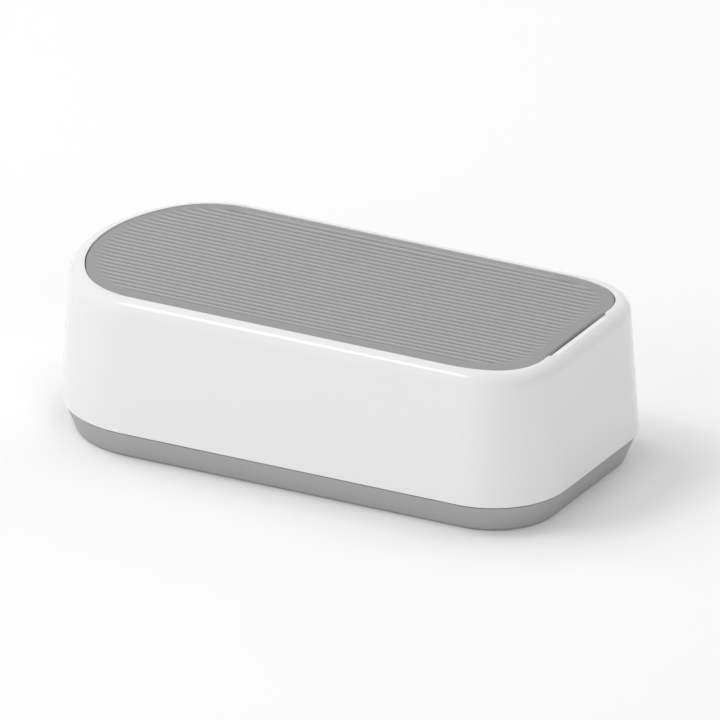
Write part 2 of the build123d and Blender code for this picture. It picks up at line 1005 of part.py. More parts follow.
def heat_sink():
    """Finned aluminium block on the thermal pad."""
    x, y = sink_place
    lift = transistor_height + pad_thickness
    sink = on_board(x, y, sink_length, sink_width, sink_base, lift)
    gap = (sink_width - sink_fin) / (sink_fins - 1)
    for index in range(sink_fins):
        fin_y = y - sink_width / 2 + sink_fin / 2 + index * gap
        sink += on_board(x, fin_y, sink_length, sink_fin, sink_height, lift)
    return sink


def electrolytic_capacitors():
    """Two cans lying on the board."""
    cans = []
    for index in range(2):
        y = can_place[1] - index * can_pitch
        x = board_centre_x + can_place[0]
        z = board_top + can_radius
        can = tube(can_radius, (x - can_length / 2, y, z), (x + can_length / 2, y, z))
        cans.append(fillet(can.faces().sort_by(Axis.X)[0].edges(), can_radius / 8))
    return group(cans)


def film_capacitor():
    """Boxed film capacitor."""
    x, y = film_place
    body = on_board(x, y, film_length, film_width, film_height)
    return fillet(body.edges().filter_by(Axis.Z), film_width / 10)


def control_chip():
    """Controller with its pins."""
    x, y = chip_place
    chip = on_board(x, y, chip_length, chip_width, chip_height)
    first = x - (chip_pins_per_side - 1) / 2 * chip_pin_pitch
    reach = chip_width + 2 * chip_pin_reach
    for index in range(chip_pins_per_side):
        chip += on_board(first + index * chip_pin_pitch, y, chip_pin, reach, chip_pin)
    return chip


def chip_resistors():
    """Small resistors in two rows."""
    x, y = resistor_place
    per_row = resistor_count // 2
    first = x - (per_row - 1) / 2 * resistor_pitch
    return group(
        on_board(
            first + (index % per_row) * resistor_pitch,
            y - (index // per_row) * resistor_row_pitch,
            resistor_length,
            resistor_width,
            resistor_height,
        )
        for index in range(resistor_count)
    )


def diodes():
    """Rectifier diodes in two columns."""
    x, y = diode_place
    return group(
        on_board(
            x + (index % 2) * diode_row_pitch,
            y + (index // 2) * diode_pitch,
            diode_length,
            diode_width,
            diode_height,
        )
        for index in range(diode_count)
    )


def connector(place, ways, turned):
    """Wire connector standing on the board, open towards the board's edge."""
    along = connector_pitch * (ways - 1) + 2 * connector_wall
    if turned:
        return on_board(place[0], place[1], along, connector_depth, connector_height)
    return on_board(place[0], place[1], connector_depth, along, connector_height)


def board_connectors():
    """Connectors of the inlet, the disc and the switch."""
    return group(
        (
            connector(inlet_connector_place, 2, False),
            connector(disc_connector_place, 2, False),
            connector(switch_connector_place, 3, True),
        )
    )


def inlet_leads():
    """Two leads from the power jack under the tank to the driver board."""
    end_x = board_centre_x + inlet_connector_place[0] - connector_depth / 2
    high = inlet_height - jack_size / 2 + inlet_lead_radius
    dip_x = jack_back + inlet_lead_run
    leads = []
    for side in (-1, 1):
        y = side * connector_pitch / 2
        end_y = inlet_connector_place[1] + y
        points = [
            (jack_back, y, high),
            (dip_x, y, high),
            (dip_x + inlet_lead_drop, y, lead_z),
            (end_x - inlet_lead_sway, y, lead_z),
            (end_x - inlet_lead_run, end_y, lead_z),
            (end_x, end_y, lead_z),
        ]
        leads.append(lead(points, inlet_lead_radius, inlet_lead_bend))
    return group(leads)


def transducer_leads():
    """Two leads from the disc's underside to the driver board."""
    end_x = board_centre_x + disc_connector_place[0] - connector_depth / 2
    disc_low = tank_low - disc_thickness
    leads = []
    for side in (-1, 1):
        y = disc_connector_place[1] + side * connector_pitch / 2
        points = [
            (end_x - disc_lead_reach, y, disc_low),
            (end_x - disc_lead_reach, y, lead_z),
            (end_x, y, lead_z),
        ]
        leads.append(lead(points, lead_radius, disc_lead_bend))
    return group(leads)


def switch_leads():
    """Three leads from the switch board down beside the tank to the driver board."""
    end_y = switch_connector_place[1] + connector_depth / 2
    top_z = button_height - switch_board_width / 2
    y = switch_board_back + switch_board_thickness / 2
    leads = []
    for index in (-1, 0, 1):
        x = index * connector_pitch
        end_x = board_centre_x + switch_connector_place[0] + x
        points = [
            (x, y, top_z),
            (x, y, lead_z),
            (end_x, end_y + switch_lead_run, lead_z),
            (end_x, end_y, lead_z),
        ]
        leads.append(lead(points, lead_radius, switch_lead_bend))
    return group(leads)


sub_parts = {
    "upper_shell": upper_shell,
    "base_cover": base_cover,
    "rubber_feet": rubber_feet,
    "base_screws": base_screws,
    "lid_top": lid_top,
    "lid_liner": lid_liner,
    "lid_seal": lid_seal,
    "tank": tank,
    "tank_seal": tank_seal,
    "tank_clamps": tank_clamps,
    "clamp_screws": clamp_screws,
    "piezo_disc": piezo_disc,
    "transducer_leads": transducer_leads,
    "start_button": start_button,
    "button_light_ring": button_light_ring,
    "tact_switch": tact_switch,
    "switch_plunger": switch_plunger,
    "switch_board": switch_board,
    "switch_board_screws": switch_board_screws,
    "indicator_led": indicator_led,
    "switch_leads": switch_leads,
    "inlet_bezel": inlet_bezel,
    "power_jack": power_jack,
    "jack_pin": jack_pin,
    "inlet_leads": inlet_leads,
    "driver_board": driver_board,
    "board_screws": board_screws,
    "transformer_core": transformer_core,
    "transformer_winding": transformer_winding,
    "choke_core": choke_core,
    "choke_winding": choke_winding,
    "power_transistors": power_transistors,
    "heat_pad": heat_pad,
    "heat_sink": heat_sink,
    "electrolytic_capacitors": electrolytic_capacitors,
    "film_capacitor": film_capacitor,
    "control_chip": control_chip,
    "chip_resistors": chip_resistors,
    "diodes": diodes,
    "board_connectors": board_connectors,
}

os.makedirs("parts", exist_ok=True)
for name, make in sub_parts.items():
    export_step(make(), f"parts/{name}.step")
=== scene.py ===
import json
import math

import bmesh
import bpy
import numpy as np
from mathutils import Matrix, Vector


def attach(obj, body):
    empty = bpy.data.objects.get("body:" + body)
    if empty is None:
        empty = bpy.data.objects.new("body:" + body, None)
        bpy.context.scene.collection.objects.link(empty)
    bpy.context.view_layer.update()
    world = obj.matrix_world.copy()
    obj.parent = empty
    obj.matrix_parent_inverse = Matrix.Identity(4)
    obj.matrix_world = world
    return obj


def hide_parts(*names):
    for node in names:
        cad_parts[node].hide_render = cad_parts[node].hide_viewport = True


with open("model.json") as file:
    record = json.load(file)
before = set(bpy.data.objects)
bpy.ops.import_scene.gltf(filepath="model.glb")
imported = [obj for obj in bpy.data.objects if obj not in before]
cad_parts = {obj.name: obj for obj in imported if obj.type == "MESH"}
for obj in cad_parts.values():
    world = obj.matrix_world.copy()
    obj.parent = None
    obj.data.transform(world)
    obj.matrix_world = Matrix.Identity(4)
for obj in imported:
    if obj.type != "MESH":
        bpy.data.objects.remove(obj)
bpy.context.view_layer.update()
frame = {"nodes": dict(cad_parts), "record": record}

# Sizes in metres, from the part's source
lid_length = 0.188
lid_width = 0.0884
flat_end_corner_radius = 0.0194
bowed_end_corner_radius = 0.0293
bowed_end_crown = 0.00495
lid_wide_radius = 0.045
lid_wide_turn = math.radians(20.0)
lid_tight_radius = 0.0175
lid_high = 0.0596

quarter = math.pi / 2
half_length = lid_length / 2
half_width = lid_width / 2
bowed_corner = (
    bowed_end_crown + bowed_end_corner_radius - half_length,
    half_width - bowed_end_corner_radius,
)
bow_radius = (
    bowed_end_corner_radius
    + bowed_end_crown / 2
    + bowed_corner[1] ** 2 / (2 * bowed_end_crown)
)
bow_centre = bow_radius - half_length
bow_angle = math.atan2(bowed_corner[1], bowed_corner[0] - bow_centre)

# Arcs of the flat end's corner at +Y, from the end face onwards: centre, radius, start and turn
lid_radius_step = lid_wide_radius - lid_tight_radius
lid_wide_centre = (
    half_length - lid_tight_radius - lid_radius_step * math.sin(lid_wide_turn),
    half_width - lid_wide_radius,
)
lid_tight_centre = (
    half_length - lid_tight_radius,
    lid_wide_centre[1] + lid_radius_step * math.cos(lid_wide_turn),
)
lid_arcs = [
    (lid_tight_centre, lid_tight_radius, 0, quarter - lid_wide_turn),
    (lid_wide_centre, lid_wide_radius, quarter - lid_wide_turn, lid_wide_turn),
]
flat_corner = (half_length - flat_end_corner_radius, half_width - flat_end_corner_radius)
case_arcs = [(flat_corner, flat_end_corner_radius, 0, quarter)]


class Flow:
    """A value in a finish's node tree. Arithmetic on it adds Math nodes."""

    def __init__(self, finish, socket):
        self.finish = finish
        self.socket = socket

    def math(self, operation, *values):
        return self.finish.node(
            "ShaderNodeMath", {"operation": operation}, dict(enumerate(values))
        )

    def __add__(self, other):
        return self.math("ADD", self, other)

    def __radd__(self, other):
        return self.math("ADD", other, self)

    def __sub__(self, other):
        return self.math("SUBTRACT", self, other)

    def __rsub__(self, other):
        return self.math("SUBTRACT", other, self)

    def __mul__(self, other):
        return self.math("MULTIPLY", self, other)

    def __rmul__(self, other):
        return self.math("MULTIPLY", other, self)

    def __lt__(self, other):
        return self.math("LESS_THAN", self, other)

    def root(self):
        return self.math("SQRT", self)

    def step(self, low, high):
        """0 below low and 1 above high, with a smooth climb between."""
        return self.finish.node(
            "ShaderNodeMapRange",
            {"interpolation_type": "SMOOTHSTEP"},
            {"Value": self, "From Min": low, "From Max": high},
        )


class Finish:
    """One procedural material. Numbers that are the same all over sit on the shader's sockets."""

    def __init__(self, name, **fixed):
        self.material = bpy.data.materials.new(name)
        self.material.use_nodes = True
        self.tree = self.material.node_tree
        self.tree.nodes.clear()
        self.shader = self.tree.nodes.new("ShaderNodeBsdfPrincipled")
        output = self.tree.nodes.new("ShaderNodeOutputMaterial")
        self.tree.links.new(self.shader.outputs[0], output.inputs["Surface"])
        for socket, value in fixed.items():
            self.shader.inputs[socket.replace("_", " ")].default_value = value
        self.place = self.node("ShaderNodeTexCoord", {}, {}, "Object")

    def node(self, kind, settings, values, output=0):
        """Adds a node: its settings first, then its sockets' values or links."""
        made = self.tree.nodes.new(kind)
        for name, value in settings.items():
            setattr(made, name, value)
        for socket, value in values.items():
            if isinstance(value, Flow):
                self.tree.links.new(value.socket, made.inputs[socket])
            else:
                made.inputs[socket].default_value = value
        return Flow(self, made.outputs[output])

    def axis(self, name):
        """One coordinate of the place on the piece, in metres."""
        return self.node("ShaderNodeSeparateXYZ", {}, {0: self.place}, name)

    def marked(self):
        """The mark of a piece's points: 1 on bare metal, or the lid's place on its ribs' wave, which
        sets the ribs' painted shade.
        """
        return self.node("ShaderNodeAttribute", {"attribute_name": "mark"}, {}, "Fac")

    def from_axis(self, first, second):
        """Distance from the axis that isn't named."""
        across, along = self.axis(first), self.axis(second)
        return (across * across + along * along).root()

    def noise(self, size, detail=2.0, axes=(1.0, 1.0, 1.0)):
        """Cloudy pattern from 0 to 1 whose patches are about size metres wide."""
        stretched = self.node(
            "ShaderNodeVectorMath", {"operation": "MULTIPLY"}, {0: self.place, 1: axes}
        )
        return self.node(
            "ShaderNodeTexNoise", {}, {"Vector": stretched, "Scale": 1.0 / size, "Detail": detail}
        )

    def cells(self, size, output="Distance", randomness=1.0, metric="EUCLIDEAN"):
        """Pattern of cells about size metres wide."""
        return self.node(
            "ShaderNodeTexVoronoi",
            {"distance": metric},
            {"Vector": self.place, "Scale": 1.0 / size, "Randomness": randomness},
            output,
        )

    def shades(self, size):
        """Cells about size metres wide, each with one value of its own from 0 to 1."""
        return self.node("ShaderNodeSeparateColor", {}, {0: self.cells(size, output="Color")})

    def mix(self, factor, first, second):
        """Colour between two colours."""
        first, second = (
            (*colour, 1.0) if isinstance(colour, tuple) else colour
            for colour in (first, second)
        )
        return self.node(
            "ShaderNodeMix", {"data_type": "RGBA"}, {0: factor, 6: first, 7: second}, 2
        )

    def link(self, flow, socket):
        self.tree.links.new(flow.socket, self.shader.inputs[socket])

    def done(self, colour, roughness, height, depth):
        """Material with its colour, roughness and a bump of height times depth metres."""
        self.link(colour, "Base Color")
        self.link(roughness, "Roughness")
        bump = self.node("ShaderNodeBump", {}, {"Height": height, "Distance": depth})
        self.link(bump, "Normal")
        return self.material


def tinted(colour, amount):
    """Two neighbours of a colour, darker and lighter by a share of it."""
    return (
        tuple(part * (1 - amount) for part in colour),
        tuple(min(1.0, part * (1 + amount)) for part in colour),
    )


plastic_drift = 0.03
plastic_grain = 0.0004
plastic_relief = 0.000008


def moulded(name, colour, roughness, grain=plastic_grain, depth=plastic_relief, tone=0.015):
    """Moulded plastic with a spark-eroded grain, over a slow drift of its tone."""
    made = Finish(name)
    drift = made.noise(plastic_drift, 3.0)
    fine = made.noise(grain, 3.0)
    return made.done(
        made.mix(drift, *tinted(colour, tone)),
        roughness + (drift - 0.5) * 0.056 + (fine - 0.5) * 0.08,
        fine, depth,
    )


# Mark of the lid's flat parts. Its crests have 0 and its grooves 1. The mark sets the lid's painted
# shade: paler on the crests, darker in the grooves.
flat_mark = 0.65


def ribbed_plastic(name, colour, roughness, contrast=0.3):
    """Matt plastic, paler along the ribs' crests and darker in the grooves.

    The stripe stands in for shading that the ribs' relief doesn't give under these lamps.
    Its contrast is set to the photograph, which doesn't show that the real lid has one.
    """
    made = Finish(name, Specular_IOR_Level=0.25)
    drift = made.noise(plastic_drift, 3.0)
    fine = made.noise(plastic_grain, 3.0)
    darker, paler = tinted(colour, contrast)
    return made.done(
        made.mix(made.marked() + (drift - 0.5) * 0.06, paler, darker),
        roughness + (drift - 0.5) * 0.06 + (fine - 0.5) * 0.08,
        fine, plastic_relief,
    )


def glossy_white(name):
    """White plastic with a polished skin: faint flow waves and a few finer wiping marks."""
    made = Finish(name)
    drift = made.noise(0.05, 2.0)
    waves = made.noise(0.006, 2.0)
    wiped = made.noise(0.002, 4.0, (0.15, 1.0, 1.0))
    return made.done(
        made.mix(drift, (0.797, 0.797, 0.797), (0.806, 0.806, 0.805)),
        0.16 + (drift - 0.5) * 0.05 + (wiped - 0.5) * 0.05,
        waves, 0.000004,
    )


def brushed(name, colour, roughness, axes, streak=0.0006, depth=0.000002, tone=0.05, stain=0.04):
    """Metal with fine streaks along its least scaled axis and faint cloudy stains."""
    made = Finish(name, Metallic=1.0)
    lines = made.noise(streak, 4.0, axes)
    cloud = made.noise(0.02, 4.0)
    darker, lighter = tinted(colour, tone)
    return made.done(
        made.mix(lines * 0.6 + cloud * 0.4, darker, lighter),
        roughness + (lines - 0.5) * 0.12 + cloud.step(0.55, 0.75) * stain,
        lines, depth,
    )


def zinc_plated(name):
    """Zinc-plated sheet: dull spangles, a little white bloom and rolling marks."""
    made = Finish(name, Metallic=1.0)
    patch = made.shades(0.0014)
    bloom = made.noise(0.004, 5.0).step(0.58, 0.78)
    return made.done(
        made.mix(patch * 0.5 + bloom * 0.5, (0.46, 0.47, 0.49), (0.58, 0.59, 0.6)),
        0.32 + patch * 0.12 + bloom * 0.2,
        made.noise(0.0003, 3.0, (0.1, 1.0, 1.0)), 0.000003,
    )


def silvered_ceramic(name):
    """Disc of pale ceramic with a fired silver coat that stops short of its edge."""
    made = Finish(name)
    edge = made.from_axis("X", "Y").step(0.0163, 0.0165)
    fired = made.noise(0.0012, 4.0)
    coat = made.mix(fired, (0.64, 0.63, 0.6), (0.74, 0.73, 0.7))
    made.link(1 - edge, "Metallic")
    return made.done(
        made.mix(edge, coat, made.mix(fired, (0.5, 0.46, 0.36), (0.58, 0.54, 0.44))),
        0.34 + fired * 0.16 + edge * 0.2,
        fired, 0.00001,
    )


def rubbery(name, colour, roughness, dust, tone=0.12, depth=0.00001):
    """Rubber or silicone skin with a matt bloom and scattered specks of dust."""
    made = Finish(name)
    bloom = made.noise(0.006, 4.0)
    specks = made.cells(0.0009) < 0.11
    skin = made.mix(bloom, *tinted(colour, tone))
    return made.done(
        made.mix(specks * made.noise(0.004, 2.0).step(0.5, 0.7), skin, dust),
        roughness + (bloom - 0.5) * 0.2,
        made.noise(0.0003, 3.0), depth,
    )


def frosted(name, colour, roughness):
    """Frosted light guide: a milky body whose clouding varies."""
    made = Finish(name, Transmission_Weight=0.25, IOR=1.49)
    clouds = made.noise(0.003, 4.0)
    return made.done(
        made.mix(clouds, *tinted(colour, 0.05)),
        roughness + (clouds - 0.5) * 0.15,
        made.noise(0.00025, 2.0), 0.000008,
    )


def black_parts(name):
    """Black moulded bodies with a matt grain. Marked points are their tinned metal ends."""
    made = Finish(name)
    bare = made.marked().step(0.45, 0.55)
    grain = made.noise(0.0002, 3.0)
    drift = made.noise(0.004, 3.0)
    body = made.mix(drift, (0.024, 0.024, 0.025), (0.036, 0.036, 0.037))
    tinned = made.mix(drift, (0.6, 0.6, 0.58), (0.72, 0.71, 0.68))
    made.link(bare * 1.0, "Metallic")
    return made.done(
        made.mix(bare, body, tinned),
        0.5 + (drift - 0.5) * 0.2 - bare * 0.22 + (grain - 0.5) * 0.1,
        grain, 0.000012,
    )


def circuit_board(name):
    """Green solder mask over square-cornered copper tracks, with tinned round pads."""
    made = Finish(name, Coat_Roughness=0.15)
    tracks = made.cells(0.0042, randomness=0.9, metric="CHEBYCHEV")
    raised = tracks.step(0.28, 0.31) - tracks.step(0.38, 0.41)
    pads = made.cells(0.0042, randomness=0.9) < 0.11
    weave = made.noise(0.0005, 2.0, (1.0, 0.2, 1.0))
    mask = made.mix(raised, (0.025, 0.13, 0.055), (0.06, 0.24, 0.1))
    mask = made.mix(weave * 0.25, mask, (0.04, 0.2, 0.08))
    made.link(pads * 1.0, "Metallic")
    return made.done(
        made.mix(pads, mask, (0.66, 0.64, 0.56)),
        0.3 + weave * 0.12 + pads * 0.08,
        raised * 0.8 + pads * 0.6 + weave * 0.15, 0.00003,
    )


def sintered(name):
    """Ferrite: dark grey ceramic with glinting grains and small chips."""
    made = Finish(name)
    glint = made.shades(0.00025)
    chips = made.noise(0.0015, 4.0).step(0.62, 0.7)
    return made.done(
        made.mix(glint * 0.6 + chips * 0.4, (0.055, 0.055, 0.06), (0.12, 0.12, 0.13)),
        0.62 - glint * 0.22 + chips * 0.12,
        glint * 0.4 + chips * -0.6, 0.00002,
    )


def enamelled_copper(name):
    """Copper wire under a clear red-brown enamel, wound slightly unevenly."""
    made = Finish(name, Metallic=0.9, Coat_Weight=0.5, Coat_Roughness=0.12)
    turns = made.noise(0.0012, 3.0)
    fine = made.noise(0.0003, 3.0)
    return made.done(
        made.mix(turns, (0.5, 0.2, 0.09), (0.68, 0.31, 0.15)),
        0.24 + (turns - 0.5) * 0.12 + (fine - 0.5) * 0.1,
        fine, 0.00001,
    )


def filled_silicone(name):
    """Thermal pad: grey silicone full of ceramic specks."""
    made = Finish(name)
    specks = made.cells(0.00035) < 0.3
    soft = made.noise(0.002, 3.0)
    base = made.mix(soft, (0.41, 0.44, 0.48), (0.48, 0.51, 0.55))
    return made.done(
        made.mix(specks * 0.6, base, (0.6, 0.62, 0.64)),
        0.72 + (soft - 0.5) * 0.15,
        specks * 0.5 + soft * 0.5, 0.00002,
    )


def sleeved_can(name):
    """Dark blue shrink sleeve, slightly rippled. Marked points are the can's bare aluminium."""
    made = Finish(name)
    bare = made.marked().step(0.45, 0.55)
    ripple = made.noise(0.003, 3.0, (0.25, 1.0, 1.0))
    sleeve = made.mix(ripple, (0.035, 0.045, 0.1), (0.06, 0.07, 0.14))
    metal = made.mix(made.noise(0.0006, 3.0), (0.62, 0.63, 0.64), (0.74, 0.75, 0.76))
    made.link(bare * 1.0, "Metallic")
    return made.done(
        made.mix(bare, sleeve, metal),
        0.26 + (ripple - 0.5) * 0.14 + bare * 0.1,
        ripple, 0.00003,
    )


def insulated(name, colour):
    """Soft wire insulation, a little dusty, with faint draw marks along it."""
    made = Finish(name)
    marks = made.noise(0.0007, 3.0, (0.3, 1.0, 1.0))
    cloud = made.noise(0.008, 3.0)
    return made.done(
        made.mix(marks * 0.5 + cloud * 0.5, *tinted(colour, 0.16)),
        0.44 + (marks - 0.5) * 0.16,
        marks, 0.000012,
    )


along_x = (0.06, 1.0, 1.0)
finishes = {
    "white_case": glossy_white("White ABS"),
    "grey_base": moulded("Grey base plastic", (0.385, 0.385, 0.386), 0.5, tone=0.01),
    "grey_lid": ribbed_plastic("Grey lid plastic", (0.326, 0.326, 0.327), 0.5),
    "foot_rubber": rubbery("Black rubber", (0.05, 0.05, 0.05), 0.75, (0.2, 0.19, 0.18)),
    "screw_steel": brushed("Screw steel", (0.55, 0.55, 0.56), 0.3, (1.0, 1.0, 0.3), 0.0003),
    "lid_liner_plastic": moulded("Liner plastic", (0.62, 0.63, 0.63), 0.36, 0.0006, tone=0.01),
    "seal_rubber": rubbery("Seal silicone", (0.55, 0.56, 0.56), 0.55, (0.7, 0.7, 0.68), 0.04),
    "tank_steel": brushed("Tank steel", (0.62, 0.62, 0.61), 0.22, along_x, tone=0.03),
    "zinc_steel": zinc_plated("Zinc plate"),
    "silvered_ceramic": silvered_ceramic("Silvered ceramic"),
    "dark_lead": insulated("Black lead", (0.04, 0.04, 0.042)),
    "red_lead": insulated("Red lead", (0.45, 0.05, 0.04)),
    "button_plastic": moulded("Button plastic", (0.345, 0.345, 0.346), 0.42, tone=0.012),
    "light_guide": frosted("Light guide", (0.75, 0.8, 0.82), 0.34),
    "black_plastic": black_parts("Black plastic"),
    "circuit_board": circuit_board("Circuit board"),
    "led_resin": frosted("Lamp resin", (0.8, 0.78, 0.55), 0.22),
    "contact_metal": brushed("Contact plating", (0.75, 0.74, 0.7), 0.18, along_x, 0.0003),
    "ferrite": sintered("Ferrite"),
    "copper_winding": enamelled_copper("Enamelled copper"),
    "heat_pad_silicone": filled_silicone("Thermal silicone"),
    "sink_aluminium": brushed("Sink aluminium", (0.6, 0.61, 0.62), 0.34, along_x, 0.0004, 0.000006),
    "capacitor_sleeve": sleeved_can("Capacitor sleeve"),
    "film_box": moulded("Capacitor box", (0.65, 0.5, 0.12), 0.4, 0.0005, 0.00001, 0.04),
    "connector_plastic": moulded("Nylon", (0.75, 0.7, 0.58), 0.45, 0.0005, 0.00001, 0.03),
}


def outline_arc(centre, radius, start, turn, steps):
    """Arc of the outline and its outward directions, without its last point."""
    angle = start + turn * np.arange(steps) / steps
    outward = np.stack([np.cos(angle), np.sin(angle)], axis=1)
    return np.asarray(centre) + radius * outward, outward


def outline_run(start, end, outward, steps):
    """Straight part of the outline and its outward direction, without its last point."""
    share = np.arange(steps)[:, None] / steps
    points = (1 - share) * np.asarray(start) + share * np.asarray(end)
    return points, np.tile(outward, (steps, 1))


def joined(runs):
    """Points and outward directions of several parts of the outline, one after the other."""
    return tuple(np.concatenate(parts) for parts in zip(*runs))


def flat_end(arcs, steps, end_steps=8):
    """Flat end's outline from -Y to +Y. The corner's arcs are mirrored for -Y."""
    lower = [
        outline_arc((x, -y), radius, -start - turn, turn, steps)
        for (x, y), radius, start, turn in reversed(arcs)
    ]
    end_y = arcs[0][0][1]
    upper = [outline_arc(*arc, steps) for arc in arcs]
    return joined(
        [*lower, outline_run((half_length, -end_y), (half_length, end_y), (1, 0), end_steps), *upper]
    )


def bowed_end(steps):
    """Bowed end's outline from +Y to -Y: a corner arc, the wide arc and the other corner arc."""
    x, y = bowed_corner
    corner = bow_angle - quarter
    return joined([
        outline_arc((x, y), bowed_end_corner_radius, quarter, corner, steps),
        outline_arc((bow_centre, 0), bow_radius, bow_angle, 2 * (math.pi - bow_angle), steps),
        outline_arc((x, -y), bowed_end_corner_radius, -bow_angle, corner, steps),
    ])


def whole_outline(arcs, side_steps=8, steps=16):
    """Closed plan outline, anticlockwise, with its outward directions.

    Each straight run keeps one direction and each arc keeps one centre, so a point
    moved out by any amount along its direction lies on the parallel outline.
    """
    start_x = bowed_corner[0]
    end_x = arcs[-1][0][0]
    near = outline_run((start_x, -half_width), (end_x, -half_width), (0, -1), side_steps)
    far = outline_run((end_x, half_width), (start_x, half_width), (0, 1), side_steps)
    return joined([near, flat_end(arcs, steps), far, bowed_end(steps)])


def raised(plan, outward, offset, height):
    """Points moved out from the plan curve by offset, at a height. Rows follow the curve."""
    offset, height = np.broadcast_arrays(offset, height)
    shape = (len(plan), offset.shape[-1])
    offset = np.broadcast_to(offset, shape)
    height = np.broadcast_to(height, shape)
    flat = plan[:, None, :] + offset[:, :, None] * outward[:, None, :]
    return np.concatenate([flat, height[:, :, None]], axis=2)


def rounded(corners, steps=4, closed=True):
    """Path through (across, along, radius) corners, each replaced by an arc of its radius.

    The arc's centre lies on the line that halves the corner, its radius over the sine
    of half the corner's angle away.
    """
    path = []
    last = len(corners) - 1
    for index, (across, along, radius) in enumerate(corners):
        here = np.array([across, along])
        if radius == 0 or (not closed and index in (0, last)):
            path.append(here[None])
            continue
        before = np.array(corners[index - 1][:2]) - here
        after = np.array(corners[(index + 1) % len(corners)][:2]) - here
        before /= np.hypot(*before)
        after /= np.hypot(*after)
        half = math.acos(float(np.clip(before @ after, -1, 1))) / 2
        middle = (before + after) / np.hypot(*(before + after))
        centre = here + middle * radius / math.sin(half)
        first = here + before * radius / math.tan(half) - centre
        final = here + after * radius / math.tan(half) - centre
        turn = math.atan2(first[0] * final[1] - first[1] * final[0], first @ final)
        angle = math.atan2(first[1], first[0]) + turn * np.linspace(0, 1, steps + 1)
        path.append(centre + radius * np.stack([np.cos(angle), np.sin(angle)], axis=1))
    return np.concatenate(path)


def smooth_step(value, low, high):
    """0 below low and 1 above high, with a smooth climb between."""
    share = np.clip((value - low) / (high - low), 0, 1)
    return share * share * (3 - 2 * share)


record = frame["record"]
slot_of = {part["node"]: part["material_slot"] for part in record["subparts"]}
body_of = {
    node: body for body, nodes in record["behaviour"]["bodies"].items() for node in nodes
}


# Pieces that aren't simply called after their CAD node
own_names = {
    "lid_top": "Ribbed_lid",
    "tank": "Steel_tank",
    "piezo_disc": "Ultrasonic_disc",
    "tact_switch": "Switch_body",
    "indicator_led": "Switch_light",
}


def new_mesh(node):
    """Empty mesh with the name of the piece that stands for a CAD node."""
    return bpy.data.meshes.new(own_names.get(node, node.capitalize()))


def settle(mesh, node):
    """Makes the piece that rides on its CAD node's body and stands for the node."""
    made = bpy.data.objects.new(mesh.name, mesh)
    bpy.context.scene.collection.objects.link(made)
    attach(made, body_of[node])
    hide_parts(node)
    return made


def shaded(mesh, node, crease):
    """Gives a mesh its finish, and smooth shading that breaks at creases sharper than an angle."""
    mesh.polygons.foreach_set("use_smooth", np.ones(len(mesh.polygons), bool))
    mesh.set_sharp_from_angle(angle=math.radians(crease))
    mesh.materials.append(finishes[slot_of[node]])


